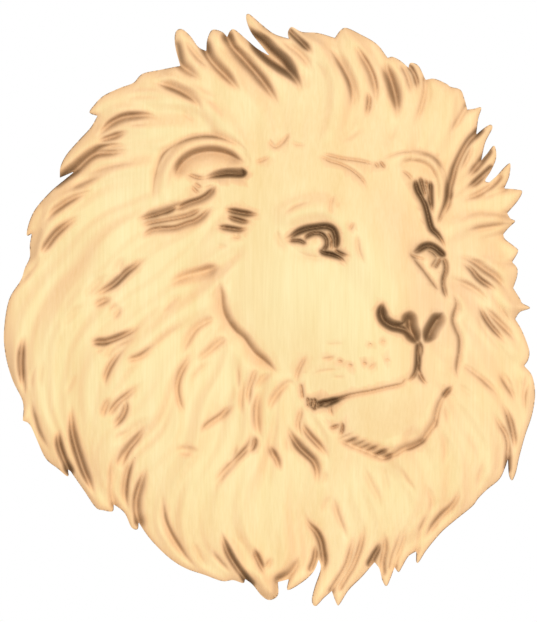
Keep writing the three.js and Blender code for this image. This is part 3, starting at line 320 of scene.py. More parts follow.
# The cuts between the locks inside the mane: at the top,
MANE_CUTS = [
    cut([151, 80, 164, 84.5, 174, 88, 184, 93, 195, 101, 203, 114], 12, 4.5, 6.5, lift=-2),
    cut([94, 140, 101, 131.5, 110, 123, 122, 117, 136, 115, 150, 115, 164, 119], 5, 8, 6.5, lift=-2),
    cut([84, 162, 92, 153.5, 99, 148.5, 108, 146, 120, 145, 132, 146], 5, 4.5, 6.5),
    cut([124, 124, 138, 123.5, 152, 122], 2.5, 2.5, 2),
    cut([94, 143, 103, 139, 112, 136, 122, 132.5, 131, 130.5], 4, 6, 7),
    cut([183, 34, 190, 46, 197, 55, 205, 63, 215, 71], 5, 5, 4),
    cut([278, 38, 288, 44, 298, 51, 307, 61, 314, 74], 9, 7, 5),
    cut([325, 43, 332, 50, 339.5, 61, 345.5, 71.5, 350.5, 82, 352.5, 93, 352, 103, 349, 116], 12, 4.5, 6),
    cut([347, 70, 354, 82, 357, 92, 358, 103, 357, 112], 3, 3, 2.5),
    cut([350, 36, 357, 46, 363.5, 56, 369.5, 66, 374, 77, 376.5, 90, 375.5, 102, 371, 114], 3, 8, 6),
    cut([367.5, 88, 369.5, 98, 368.5, 108, 366, 120], 2.5, 3, 7),
    cut([368, 116, 361, 127, 351, 136, 336, 145], 5, 5, 1.5),
    cut([393, 116, 394, 128, 387, 148], 4, 4, 1.5),
    cut([206, 96, 217, 106, 226, 120], 8, 6, 1.8),
    cut([180, 110, 188, 115.5, 197, 122], 3, 3, 1.8),
    cut([120, 98, 140, 95, 157, 96, 172, 100], 5, 5, 1.5),
    cut([128, 89, 145, 87.5, 165, 89], 3, 3, 1),
    cut([296, 66, 305, 78, 309, 92], 7, 6, 2),
    cut([310, 58, 319, 68, 326, 82], 6, 5, 1.5),
    # on the left,
    cut([80, 176, 100, 167.5, 122, 163, 146, 162], 5, 5, 2),
    cut([66, 192, 82, 182, 104, 174], 5, 4, 2.2),
    cut([42, 224, 52, 212.5, 61.5, 205.5, 70.5, 199.8, 81, 194.5, 97, 189], 6.5, 4, 5.5, lift=-2),
    cut([44, 224, 54, 213, 70, 205], 4, 4, 1.5),
    cut([38, 258, 41.5, 252, 45.5, 246.5, 50.5, 239.5, 56, 233, 63, 227, 73, 219.5, 88, 211],
      6, 5.5, 7.5, [0.25, 0.55]),
    cut([19, 286, 26, 276, 32, 268.5, 37, 261, 42, 252], 9, 4, 3),
    cut([86, 302, 92, 298, 99, 293.5, 106, 289.5, 114, 284.5, 121, 278, 127, 272, 134, 267, 140, 261.5,
      146, 257.5, 154, 253.5], 6, 3.6, 8.5, [0.45, 0.45]),
    cut([82, 300, 88, 293.5, 95, 286, 102, 279.5, 111, 274], 12, 4.5, 2.8),
    cut([117, 279, 119, 271, 121, 263, 126, 256], 8, 4, 2),
    cut([92, 308, 99, 303.5, 105, 300.5, 113, 298], 5, 4, 4.5, [0.4, 0.4]),
    cut([110, 312, 114, 307.5, 117, 302], 3.5, 3.5, 3),
    cut([111, 319, 116, 315, 119, 309, 119, 304], 3.5, 3.5, 3.2),
    cut([164, 288, 172, 282.5, 181, 278, 191, 274.5, 201, 271.8, 211, 269, 222, 265.5],
      7, 10, 6, [0.45, 0.25], SHARP),
    cut([160, 314, 167, 307, 174, 300, 184, 293], 10, 4, 2),
    cut([88, 344.5, 96, 342.5, 104, 342.5, 110, 341, 117, 338.5, 124, 335.5, 130, 332.5, 136, 328,
      142, 318], 5.5, 3.5, 8.5, [0.2, 0.6], SHARP),
    cut([102, 351.5, 108, 347, 114, 344.5, 120, 342, 127, 339, 134, 335, 139, 329], 3, 8, 3.5),
    cut([94, 352, 100, 349, 106, 345], 3.5, 4, 3),
    cut([105, 353, 111, 349.5, 117, 345], 3.5, 4, 3),
    cut([105, 392, 104.5, 381, 107.5, 371, 112.5, 362, 119, 353, 128, 344, 136, 336],
      3, 3.6, 6, [0.3, 0.6]),
    cut([105, 359, 108, 354, 112, 350], 2.5, 4, 2.5),
    cut([124, 363, 131, 359.5, 138, 357.5, 144, 354, 151, 348.5, 162, 339], 5, 5.5, 5, [0.25, 0.65]),
    cut([150, 350, 163, 339, 176, 329, 188, 320], 6, 12, 1.6),
    cut([179, 358, 184, 349, 189, 340, 193, 333, 198, 327.5, 204, 323.5, 211, 320, 224, 316],
      8, 3.5, 3.6, [0.3, 0.3]),
    cut([188, 416, 182, 408.5, 178.5, 398, 177.5, 387, 180, 375.5, 184.5, 366.5, 190, 358, 199, 348],
      4.5, 2.4, 4.6, [0.2, 0.4]),
    cut([194, 364, 206, 354, 217, 345, 232, 333], 7, 3.5, 3.6, [0.3, 0.3]),
    cut([192, 388, 195, 377, 205, 366, 216, 358], 3, 3, 1.5),
    cut([25, 332, 22, 344, 20.5, 357, 20.5, 370, 22, 384, 25, 400], 5, 5.5, 7.5),
    cut([30, 394, 31, 378, 37, 360], 3, 3, 1.5),
    cut([39, 394, 40, 376, 44, 354], 3, 3, 1.5),
    cut([64, 398, 70, 383, 78, 370], 6, 6, 1.5),
    cut([60, 330, 72, 314, 86, 304], 10, 8, 2),
    cut([31, 398, 32, 410, 34.5, 421, 38.5, 433, 46, 446, 52, 454], 3, 14, 4),
    # at the lower left,
    cut([97, 503, 92, 492, 87.5, 482, 83, 472, 79, 460.5, 74.5, 446, 71.3, 431, 70.5, 416, 71, 398],
      4.5, 8, 9, [0.3, 0.4]),
    cut([108, 419, 111, 411, 115.5, 405, 120, 400.5, 127, 395, 135, 388.5, 146, 380],
      3.5, 5, 5.5, [0.2, 0.55]),
    cut([110, 430, 116.5, 424, 121.5, 418, 125, 411, 126, 404, 123, 396], 5, 3, 6, [0.35, 0.35]),
    cut([102, 420, 104, 411, 107.5, 403, 112, 396], 6, 3, 4.5),
    cut([110, 448, 124, 436, 138, 426, 152, 414], 11, 9, 3),
    cut([118, 476, 121.5, 465, 125.5, 455, 130, 447.5, 136, 440.5, 141, 433.5, 146, 425.5, 150, 414],
      8, 3.5, 6),
    cut([112, 441, 120, 436, 129, 432, 138, 427], 5, 5, 3),
    cut([117, 470, 119.5, 460, 124.5, 450, 130, 443], 3, 6, 3.5),
    cut([136, 452, 129, 468, 125.5, 484, 125, 499, 129, 516], 3.5, 6, 6),
    mound([187, 451], [12, 6], 4, -2.6),
    cut([162.5, 490, 163, 506, 165, 521, 170.5, 534, 178, 546.5, 187, 559, 203, 575], 3.5, 10, 5.5),
    cut([192, 540, 199, 557, 210, 573], 4, 4, 2),
    cut([210, 548, 218, 561, 234, 577], 4.5, 4.5, 3),
    cut([253, 546, 255.5, 554.5, 259, 562.5, 262.5, 569.5, 267, 578], 5, 4.5, 8.5),
    cut([251.5, 553, 253.5, 561.5, 257.5, 569.5, 262, 576], 2, 3, 3),
    cut([264, 573, 268.5, 564.5, 273, 557], 3, 4, 3.5),
    # on the throat,
    cut([252.5, 426, 251.5, 437, 248.5, 446, 243, 452.5, 235, 460.5, 228, 467.5, 221.5, 475, 216.5, 483,
      214, 498], 4, 3.5, 6.5),
    cut([254.5, 434, 254.5, 442, 252, 448.5, 246, 454], 3, 3.5, 8),
    cut([243, 458, 234, 465.5, 226.5, 473, 221, 480, 218, 492], 2.5, 3, 4),
    cut([237, 443, 234.5, 451, 230.5, 459, 226, 467], 3, 3, 3),
    cut([263, 442, 258.5, 432, 256.5, 420, 256.5, 408, 259, 396, 264, 386], 6, 6, 4.5),
    cut([241.5, 420, 240.5, 408, 241, 398, 242, 390, 244.5, 380, 247.5, 371], 2.5, 3, 3.5),
    cut([237.5, 396, 238, 380, 237, 362], 3, 2, 2.5),
    cut([200.5, 438, 203.5, 429, 211, 422, 220, 416, 229, 408, 239, 402], 3, 6, 4.5, [0.3, 0.35]),
    cut([248, 414, 247.8, 400, 249, 389, 252, 379.5, 255.5, 371, 262, 366.5, 270, 364.5], 3, 5, 5),
    cut([268, 444, 272.5, 452.5, 276.5, 460, 278.5, 466.5, 279, 475], 5, 4.5, 6.5),
    cut([285, 422, 289.5, 432.5, 294, 441, 300, 449, 307, 455.5, 313, 461.5, 316.5, 470, 317, 480,
      316, 492], 8, 4, 8.5),
    cut([288, 434, 289, 446, 292, 458], 3, 3, 2.5),
    cut([302, 402, 300.5, 413, 298.3, 423, 299, 430.5, 302, 437, 306, 442], 2.5, 3, 5),
    cut([301, 416, 303.5, 426.5, 308.5, 434.5, 315, 441.5, 321, 448, 326.5, 455.5, 330, 463], 5, 4.5, 6.5),
    cut([268, 416, 271, 404, 276.5, 394.5, 283, 387, 288.5, 382.5, 293, 384.5, 297, 391], 6, 5, 4),
    cut([253, 397, 258, 384, 267, 375, 279, 370], 4, 4, 2.5),
    cut([326, 470, 325, 479, 322.5, 488], 3, 3, 2),
    # at the lower right,
    cut([331, 492, 334, 503, 337.5, 515, 342, 527, 346.5, 539, 349.5, 548], 4, 4, 3.5),
    cut([332, 494, 326, 506, 322, 520], 5, 5, 1.5),
    cut([417.5, 538, 421.5, 529, 425.5, 520, 428, 511], 2.5, 3, 3),
    cut([421, 547, 428, 536, 435, 525, 443, 515.5, 452, 507, 459, 495, 461, 478], 4.5, 4.5, 5.5),
    cut([436, 530, 448, 517, 460, 505], 4, 4, 2),
    cut([428, 518, 433, 505, 430, 492, 421, 482], 4.5, 4.5, 2.2),
    cut([478, 494, 481, 476, 487, 458], 4, 4, 2),
    cut([439, 428, 445, 441, 446, 455, 443, 472], 4, 4, 2),
    cut([463, 428, 473, 441, 479, 454, 480, 468], 4, 4, 1.5),
    cut([398, 464, 406, 479, 414, 491, 417, 506], 4.5, 4.5, 2),
    cut([381, 462, 386, 480, 389, 498], 4.5, 4.5, 1.5),
    cut([362, 462, 370, 482, 378, 498, 382, 516], 5, 5, 2),
    cut([444, 404, 448, 416, 449, 428], 3, 3, 2),
    # and on the right
    cut([498, 369, 503, 378, 508, 386, 513, 394, 519, 407], 2.5, 3, 5.5),
    cut([501, 369, 507, 378.5, 512, 387, 516, 395], 2, 2.5, 4.5),
    cut([455, 360, 470, 369, 484, 380, 496, 391, 506, 406], 4.5, 4, 3.5),
    cut([455, 385, 466, 389, 480, 403], 4, 4, 1.5),
    cut([518, 372, 522, 390, 523, 408], 5, 5, 1.8),
    cut([476, 301, 481, 309, 485.5, 317, 490.5, 324.5, 497, 332, 504, 339.5, 512, 348], 3, 3.5, 7.5),
    cut([482, 305, 490, 312.5, 498, 320.5, 505.5, 328, 512, 335, 520, 346], 5, 5, 5),
    cut([476, 306, 482, 324, 496, 342, 514, 364], 5, 5, 2),
    cut([456, 256, 466, 258, 476, 263, 485, 269.5, 494, 275.5, 502, 283, 512, 295], 8, 5, 5.5, lift=-1),
    cut([458, 260, 466, 264.5, 473, 270.5, 478, 277, 484, 282, 492, 287, 504, 297], 3, 4, 7.5),
    cut([464, 232, 482, 228.5, 498, 226, 514, 222], 6, 5, 4),
    cut([451, 280, 464, 283.5, 476, 290, 486, 299, 494, 310], 5, 5, 3.5),
    cut([452, 226, 470, 214, 494, 206], 8, 7, 1.5),
]

# The broad forms of the head, which stand out of the mane
HEAD = [
    mound([345, 285], [172, 200], -12, 13, 2),
    mound([320, 185], [110, 80], 5, 2, 2),  # forehead
    mound([275, 300], [90, 110], -20, 2.5, 2),  # cheek
    mound([382, 345], [100, 96], 8, 5, 2),  # muzzle
    mound([390, 410], [80, 66], -5, 3, 2),  # chin
    ridge([318, 180, 366, 240, 398, 285, 424, 325], 60, 44, 6, 2, 0.5, 0.25),  # bridge of the nose
]

# The near ear: the line round it, its rim, its hollow, and the folds in it
NEAR_EAR = [
    cut([151.5, 206, 152.5, 190, 154, 177, 157, 165, 161.5, 155, 167, 149, 177, 142.5, 190, 137.5,
      205, 135.5, 222, 137.5, 240, 145.5, 253, 159], 9, 3, 2.6, SHORT),
    ridge([162, 205, 163, 186, 169, 166, 184, 149, 206, 142, 228, 145, 246, 157], 8, 7, 3, 1.5),
    cut([174, 182, 178, 170, 185, 160.5, 196, 154, 211, 151.5, 228, 154.5, 247, 164.5], 7, 20, 7.5, SHORT),
    cut([183, 172, 192, 175.5, 200, 178, 211, 177], 3, 2.5, 4),
    cut([197, 177.5, 205, 178, 215, 175.5, 228, 173.5, 240, 174, 248, 172],
      7.5, 3.5, 10, [0.6, 0.12], SHARP),
    cut([194, 182, 198, 186, 203, 187], 3, 3, 3.5),
    cut([191, 185, 196, 191, 201, 194], 3, 3, 3.5),
    cut([203, 190, 215, 184], 2.5, 2.5, 2.5),
]

# The hair in front of the near ear, and the tufts on the temple
EAR_TUFTS = [
    cut([134, 221, 148, 217, 160, 213.5, 171, 209.5, 181, 203.5, 190, 198], 8, 3.5, 7),
    cut([172, 211, 181, 206, 191, 202, 200, 199, 208, 194, 217, 184], 3.5, 8, 6.5, SHORT),
    cut([138, 227.5, 150, 223, 163, 220.5, 178, 218, 192, 214, 205, 206], 6, 3, 4.5, SHORT),
    cut([138, 240, 146, 233, 154, 229, 165, 228, 176, 227, 187, 223, 195, 220.5, 203, 215, 214, 204],
      3, 7, 5, SHORT),
    cut([155, 218, 170, 213], 2.5, 2.5, 2),
    cut([222, 208.5, 235, 211.5, 246, 213.5, 262, 215], 4.5, 5, 8),
    cut([224, 215, 236, 219, 246, 221.5, 254, 220], 3, 5, 7),
    cut([213, 226, 228, 228, 240, 229.5, 252, 227], 3.5, 5, 7),
    cut([230, 235, 238, 237, 243, 235], 2, 3, 2.5),
    cut([234, 234, 240, 234.5], 2, 2, 2.5),
    cut([215, 245, 229, 247], 3, 3, 1.2),
]

# The far ear, with the edge of the brow that runs down from it
FAR_EAR = [
    ridge([388, 163, 402, 156, 420, 156, 434, 163, 442, 180, 443, 200, 438, 220], 6, 6, 3, 1.5),
    cut([375, 162, 379, 168], 2, 2, 3.5, SHORT),
    cut([380, 161, 385, 168], 2, 2, 4, SHORT),
    cut([396, 168, 406, 163, 419, 163, 431, 170, 438, 181], 4.5, 12, 1.6, SHORT),
    cut([381, 160, 390, 155, 402, 151.5, 414, 151], 2, 2, 1.5, SHORT),
    cut([400, 170, 406, 172.5, 411, 177.5, 414, 184], 2.5, 2.5, 3),
    cut([420, 175, 422, 184, 425, 194, 428, 206], 2.8, 2.8, 7, [0.22, 0.4]),
    cut([425, 176, 427, 186, 428.5, 196, 430, 209], 2.8, 2.8, 6, [0.25, 0.4]),
    cut([415, 176, 416, 184, 418, 191, 421.5, 197, 425, 204, 427.5, 213, 429.5, 222, 432, 229, 437, 234,
      441.5, 240, 445, 248, 447, 258], 3.4, 2.8, 8.5, [0.12, 0.4], SHARP),
    cut([430.5, 178, 430.5, 188, 430.5, 198, 431.5, 207, 433, 220], 3.8, 3, 8.5, [0.22, 0.5]),
    cut([449, 184, 447, 199, 442, 214, 437, 227], 2, 2.4, 4.5, [0.2, 0.25]),
]

# The edge of the hair on the forehead, and the lines of the brow
FOREHEAD = [
    cut([268, 136, 271, 143, 276, 146.5, 283, 141, 290, 131], 3.5, 3.5, 2.5, SHORT),
    cut([291, 137, 295, 143, 308, 145], 3, 3, 1.5),
    cut([254, 163, 264, 159, 272, 156], 3, 3, 2.5),
    cut([314, 154, 322, 157, 330, 161, 340, 164, 350, 169, 358, 175, 364, 182, 368, 192], 3, 1.6, 3, SHORT),
    cut([318, 152, 330, 155.5, 343, 158.5, 358, 160.5, 370, 163, 379, 166], 3, 1.6, 3, SHORT),
    cut([334, 194, 331, 203, 331, 216], 2.5, 2.5, 2.2, SHORT),
    cut([340, 199, 336, 209], 2, 2, 1.2),
    cut([281, 216, 292, 207, 304, 202.5, 314, 202], 4, 4, 1.5),
]

# The near eye: socket, brow, eyeball, lids and the corner by the nose
NEAR_EYE = [
    mound([314, 240], [42, 28], 0, -3, 2),
    ridge([272, 226, 298, 212, 322, 208, 348, 218], 18, 14, 2.5, 2),
    mound([313, 245], [22, 15], 8, 4, 2),
    cut([278, 243, 284, 240.6, 291, 237, 298, 232.5, 306, 229.5, 315, 228, 325, 227, 332, 229.5, 335, 236,
      335.5, 244, 334.5, 253], 4.4, 2.3, 9, [0.34, 0.14], SHARP),
    cut([326, 232, 330.3, 238, 331.5, 245, 331.5, 252], 1.6, 1.6, 6, SHORT),
    cut([303, 243.5, 305, 237.8, 310, 234.3, 316, 233, 322, 234.3, 326, 238.5, 327, 244, 325, 248.5,
      320, 251.5], 2, 2.5, 7.5, [0.22, 0.12]),
    cut([284, 240.5, 292, 240.5, 300, 240.8, 307, 244.5], 1.6, 2.4, 7.5, [0.4, 0.2]),
    cut([317, 249.5, 324, 252.8, 332, 254.5, 339, 257.5, 344, 262, 348, 268],
      2, 2.4, 9, [0.2, 0.55], SHARP),
    cut([333, 249, 338, 252.5, 344, 255, 353, 257], 2, 1.6, 7.5, [0.2, 0.6]),
    cut([348.5, 232, 351, 227, 354.5, 221], 1.8, 1.8, 3.5),
    cut([356, 230, 357, 242, 359, 253, 366, 268], 3.5, 3.5, 2.2),
    cut([294, 250, 308, 256.5, 330, 259], 3, 3, 1.2),
    cut([276, 228, 279, 240, 289, 250], 6, 6, 1.8),
]

# The far eye, the hollow between it and the nose, and the far edge of the muzzle
FAR_EYE = [
    mound([428, 252], [24, 20], 20, -3, 2),
    mound([429, 259], [12, 10], 20, 2.5, 2),
    cut([408, 249, 413, 252.5, 418, 251, 423, 247.5, 429, 246, 435, 248.3, 441, 253.3, 446.5, 258],
      4.6, 2.4, 9, [0.42, 0.14], SHARP),
    cut([426, 249.5, 431, 250.5, 435.5, 254, 439, 258.5], 1.5, 2.2, 4, SHORT),
    cut([442, 257, 438.5, 262, 435, 268.5], 2, 2, 6, SHORT),
    cut([438.5, 257, 434.5, 263, 431, 268], 1.6, 1.6, 4, SHORT),
    cut([408, 251, 413, 255.5, 419, 258, 429, 259], 2.5, 3, 4),
    cut([411, 256, 418, 263, 426, 273, 435, 285, 442, 293], 9, 2.5, 3.2, SHORT),
    cut([441.5, 256, 445.5, 263, 446, 270, 444, 278, 443.5, 286, 445.5, 294, 449, 303],
      5, 3.2, 5.5, [0.12, 0.3]),
    cut([450, 291, 456, 298.5, 457.5, 306, 455, 314, 454, 321, 457, 329.5, 460.5, 338, 460.5, 350,
      458.5, 362, 457.5, 371, 460, 382], 9, 4.5, 4.2, SHORT),
]

# The nose: its wings, the nostrils and the line down to the lip
NOSE = [
    mound([418, 318], [56, 34], 8, 2, 2),
    cut([383, 300, 380.5, 311, 383, 320, 391, 326, 399, 328, 406, 330.5, 411, 336, 419, 346],
      7.5, 5, 12, SHORT, SHARP),
    cut([391, 323, 398, 325.5, 404, 323.5, 408, 317], 3.5, 3.5, 8, SHORT),
    cut([409, 320, 410, 328, 413, 335, 419, 346], 10, 9, 14, OPEN, SHARP),
    cut([437, 320, 433, 326, 430, 332, 425, 345], 11, 8, 14, OPEN, SHARP),
    cut([419, 338, 418.5, 347, 418, 357, 417.5, 366, 415.5, 373, 410, 379.5, 400, 384],
      4.5, 4.2, 8, [0.15, 0.5]),
    cut([420.5, 341, 421, 349, 420.5, 360], 3, 3, 5),
]

# The mouth, with the short cuts where the lips end
MOUTH = [
    cut([412, 381, 399, 385, 385, 388, 370, 391.5, 356, 394, 340, 398], 4, 2.4, 3.4, [0.22, 0.1]),
    cut([407, 377, 404, 382.5, 399, 387], 2, 2, 3),
    cut([366, 390.5, 358, 392.5, 350, 394.8, 341, 398, 333, 400.3, 326, 402, 319, 404],
      2.4, 2, 6.5, [0.6, 0.1]),
    cut([345, 397, 337, 399.8, 329, 402, 323, 403, 317, 405.5], 3.2, 3.2, 10, [0.45, 0.12], SHARP),
    cut([335, 401.5, 327, 405, 319, 406.5], 2.2, 2.6, 8),
    cut([417.5, 362, 419, 372, 423, 380, 431, 388], 3, 4, 5, [0.2, 0.5]),
    cut([306.5, 397, 308.5, 402, 308, 408], 1.6, 1.6, 7, SHORT),
    cut([310.5, 398, 312.3, 403.5, 311.3, 409], 1.5, 1.5, 9, SHORT),
    cut([314, 397.5, 315, 403, 314, 407.5, 316.5, 410.5], 1.5, 1.5, 10, SHORT),
    cut([318.5, 401, 317.5, 408.5], 1.8, 1.8, 8, SHORT),
    cut([300.5, 383, 301.5, 391, 303, 400], 2, 2, 4, SHORT),
    cut([309, 352, 302, 363, 297, 375, 295, 388], 3, 3, 3),
    cut([331, 404, 329, 415], 2.5, 2.5, 3),
]

# The rows that the whiskers grow from
WHISKERS = [
    cut([323, 345, 334, 344.5, 347, 343], 2, 2, 1),
    cut([320, 359.5, 329, 358.5, 337, 356], 2.5, 2.5, 2.5),
    cut([367, 370, 372, 366.5, 377, 361], 2, 2, 2.5),
    cut([308, 380, 317, 373, 324, 371, 347, 369], 2, 2, 1.2),
    cut([331, 378, 347, 377], 2, 2, 1),
    *[mound([x, y], [2.8, 1.9], 0, -depth) for x, y, depth in
      [[370, 345, 1], [383, 342, 1.2], [340, 361.5, 1.6], [350, 365.5, 1.6], [364.5, 363.5, 1.6],
        [387, 360, 1.2]]],
]

# Under the chin: the edge of the hair, and the tufts along it
CHIN = [
    cut([386, 458.5, 395, 454.8, 402, 450.2, 409, 446.8, 417, 443.5, 423, 440, 427.5, 434, 432, 427.5,
      436, 420, 438, 411, 441, 402, 446, 394, 452, 388, 459, 382], 7.5, 4.5, 4, [0.1, 0.3]),
    cut([401, 451.5, 411, 447.5, 419, 443.5, 425, 438.5, 429, 430], 3.6, 3, 6, [0.3, 0.4]),
    cut([431, 431, 435.5, 424, 437, 413], 3, 3, 4.5),
    cut([441, 401, 445, 395, 449, 390, 455, 385], 4, 4, 5.5),
    cut([336, 437, 346, 443, 358, 448, 370, 453, 383, 458, 396, 455], 11, 7, 4.5, SHORT),
    cut([328, 428, 334, 427.3, 342, 424], 2.5, 2.5, 4.5),
    cut([341.5, 420, 342.5, 429, 339, 439], 2, 2.5, 5),
    cut([330, 405, 330.5, 411, 333, 418], 2.2, 2.2, 3),
    *[cut([x - 11, y + 3.5, x, y, x + 11, y - 6], 3.2, 3.6, depth, [0.4, 0.5]) for x, y, depth in
      [[346, 437, 2.5], [351, 441.5, 6], [359, 444.5, 4], [364, 448, 4.5], [371, 450, 6],
        [380, 453.5, 8], [388, 457, 6]]],
]

# The edge of the cheek over the mane
CHEEK = [
    cut([218, 278, 221, 294, 222, 307, 226, 319, 235, 331, 243, 338, 248, 345, 255, 354, 265, 362,
      280, 375], 9, 18, 6.5, SHORT),
    cut([252, 349, 258, 355, 266, 362.5, 276, 372], 4, 4, 4.5),
]

FACE = NEAR_EAR + EAR_TUFTS + FAR_EAR + FOREHEAD + NEAR_EYE + FAR_EYE
FACE += NOSE + MOUTH + WHISKERS + CHIN + CHEEK

# Ways that the hair runs where no cut shows it
FLOW_GUIDES = [
    [262, 150, 250, 110, 228, 75],
    [300, 130, 300, 90, 290, 60],
    [340, 130, 350, 90, 365, 60],
    [150, 140, 120, 120, 95, 115],
    [140, 200, 100, 215, 60, 250],
    [140, 250, 100, 280, 50, 320],
    [180, 300, 130, 350, 110, 410],
    [220, 380, 170, 420, 140, 470],
    [280, 420, 240, 480, 220, 540],
    [340, 470, 330, 520, 320, 570],
    [420, 460, 440, 500, 440, 530],
    [480, 380, 500, 410, 510, 450],
    [470, 300, 495, 330, 515, 370],
    [460, 200, 480, 190, 500, 175],
    [30, 360, 30, 400, 50, 440],
    [60, 420, 75, 470, 100, 500],
]
FLOW_SPREAD = 16  # how far a path's way reaches, in drawing units
FLOW_STEP = 6  # between the places where the hair's way is worked out
WAVE_SEED = 11
WAVE_WIDTH = 15  # of the waves in the hair, in drawing units
WAVE_TURN = 13  # how far the waves turn the hair, in degrees

# Strands of hair: seed, width, length and height
STRANDS = [
    (3, 14, 90, 1.2),
    (5, 7, 60, 0.25),
]
STRAND_STEP = 2.0  # that a strand is followed by, in drawing units
STRAND_SOFTNESS = 2.6  # width of a strand over how far its noise is softened

# Ovals with no strands on them: the face and the ears
BARE = [
    ([345, 250], [112, 122], -8),
    ([330, 205], [112, 62], 4),
    ([372, 372], [72, 78], 0),
    ([300, 300], [78, 84], 0),
    ([205, 172], [52, 40], 0),
    ([424, 190], [24, 38], 0),
]


def outline_ring():
    """The outline as a closed ring of points."""
    following = OUTLINE[1:] + OUTLINE[:1]
    curves = [smooth_path(lock + after[:2], pieces=5) for lock, after in zip(OUTLINE, following)]
    return np.vstack([curve[:-1] for curve in curves])


def hair_flow():
    """The way the hair runs, as the cosine and sine of its angle, on a grid of whole units."""
    margin = 3 * FLOW_STEP
    x, y = np.meshgrid(np.arange(0, RIGHT + margin, FLOW_STEP), np.arange(0, BOTTOM + margin, FLOW_STEP))
    cosine, sine = np.zeros(x.shape), np.zeros(x.shape)
    for path in FLOW_GUIDES + [form.path for form in NOTCH_CUTS + MANE_CUTS if form.path]:
        points = smooth_path(path, pieces=4)
        for (px, py), (dx, dy) in zip((points[1:] + points[:-1]) / 2, np.diff(points, axis=0)):
            weight = np.hypot(dx, dy) / ((x - px) ** 2 + (y - py) ** 2 + FLOW_SPREAD**2) ** 1.5
            angle = 2 * np.arctan2(dy, dx)
            cosine += weight * np.cos(angle)
            sine += weight * np.sin(angle)
    x, y = np.meshgrid(np.arange(RIGHT + 5.0) / FLOW_STEP, np.arange(BOTTOM + 5.0) / FLOW_STEP)
    angle = np.arctan2(between(sine, x, y), between(cosine, x, y)) / 2
    waves = blur(np.random.default_rng(WAVE_SEED).standard_normal(angle.shape), WAVE_WIDTH)
    angle += math.radians(WAVE_TURN) * waves / waves.std()
    return np.cos(angle), np.sin(angle)


def streaks(flow, seed, width, length):
    """Random swells drawn out along the flow, about 1 high, on a grid of whole units."""
    cosine, sine = flow
    rows, columns = cosine.shape
    noise = blur(np.random.default_rng(seed).standard_normal((rows, columns)), width / STRAND_SOFTNESS)
    x0, y0 = np.meshgrid(np.arange(float(columns)), np.arange(float(rows)))
    total = noise.copy()
    steps = int(length / STRAND_STEP)
    for way in (1, -1):
        x, y = x0.copy(), y0.copy()
        dx, dy = way * cosine, way * sine
        for k in range(steps):
            x += dx * STRAND_STEP
            y += dy * STRAND_STEP
            i = np.clip(np.rint(x).astype(int), 0, columns - 1)
            j = np.clip(np.rint(y).astype(int), 0, rows - 1)
            same = np.where(cosine[j, i] * dx + sine[j, i] * dy < 0, -1, 1)
            dx, dy = cosine[j, i] * same, sine[j, i] * same
            total += 0.5 * (1 + np.cos(np.pi * (k + 1) / (steps + 1))) * between(noise, x, y)
    return total / total.std()


def carve_relief(pitch=PITCH):
    """The grid of the front, its heights over the flat back, and its distance to the outline."""
    relief = Relief(pitch)
    distance = relief.distance(outline_ring())
    inward = np.maximum(distance, 0)
    swell = MANE_RISE * (1 - np.exp(-inward / MANE_REACH)) + RIM_RISE
    at_rim = np.exp(-inward / RIM_ROUND)
    relief.rise += swell * at_rim + blur(swell, SWELL_ROUND / pitch) * (1 - at_rim)
    for carve in HEAD:
        carve(relief)
    hair = np.ones_like(inward)
    for centre, radii, turn in BARE:
        hair = np.minimum(hair, 1 - ease(oval(relief, centre, radii, turn) / BARE_EDGE))
    hair *= ease(inward / STRAND_START)
    flow = hair_flow()
    for seed, width, length, height in STRANDS:
        relief.rise += height * hair * between(streaks(flow, seed, width, length), relief.x, relief.y)
    for carves, sanded in ((NOTCH_CUTS + MANE_CUTS, HAIR_ROUND), (FACE, FACE_ROUND)):
        for carve in carves:
            carve(relief)
        relief.cut = blur(relief.cut, sanded / pitch)
    heights = BOARD + relief.rise - relief.cut - EDGE_DROP * np.exp(-inward / EDGE_WIDTH)
    spare = BOARD - THINNEST
    deepest = THINNEST + spare * np.exp(np.minimum(heights - BOARD, 0) / spare)
    return relief, np.where(heights < BOARD, deepest, heights), distance


def cell_polygons():
    """For each way that a cell's corners 0 to 3 can lie inside the outline, the polygon inside it.
    4 to 7 are the places where the outline crosses the cell's sides."""
    polygons = {}
    for case in range(1, 16):
        polygon = []
        for k in range(4):
            here, after = case >> k & 1, case >> (k + 1) % 4 & 1
            polygon += [k] * here + [4 + k] * (here != after)
        polygons[case] = polygon
    return polygons


def front_faces(relief, heights, distance):
    """The front's vertices in drawing units, its triangles, and its edges along the outline."""
    count = distance.size
    number = np.arange(count).reshape(distance.shape)
    corners = [number[:-1, :-1], number[:-1, 1:], number[1:, 1:], number[1:, :-1]]
    places = np.stack([relief.x.ravel(), relief.y.ravel(), heights.ravel()], axis=1)
    distance = distance.ravel()
    crossings = []
    for shift in (1, relief.columns):
        a, b = np.arange(count), np.minimum(np.arange(count) + shift, count - 1)
        crossed = (distance[a] > 0) != (distance[b] > 0)
        share = np.where(crossed, distance[a] / np.where(crossed, distance[a] - distance[b], 1), 0)
        crossing = places[a] + (places[b] - places[a]) * share[:, None]
        crossings.append(crossing)
    places = np.vstack([places] + crossings)
    case = sum((distance[corner] > 0).astype(int) << k for k, corner in enumerate(corners))
    sides = [corners[0] + count, corners[1] + 2 * count, corners[3] + count, corners[0] + 2 * count]
    triangles, edges = [], []
    for code, polygon in cell_polygons().items():
        cells = case == code
        ring = [(corners + sides)[k][cells] for k in polygon]
        triangles += [np.stack([ring[0], b, a], axis=1) for a, b in zip(ring[1:], ring[2:])]
        for k, after in zip(range(len(ring)), list(range(1, len(ring))) + [0]):
            if polygon[k] > 3 and polygon[after] > 3:
                edges.append(np.stack([ring[k], ring[after]], axis=1))
    return places, np.vstack(triangles), np.vstack(edges)


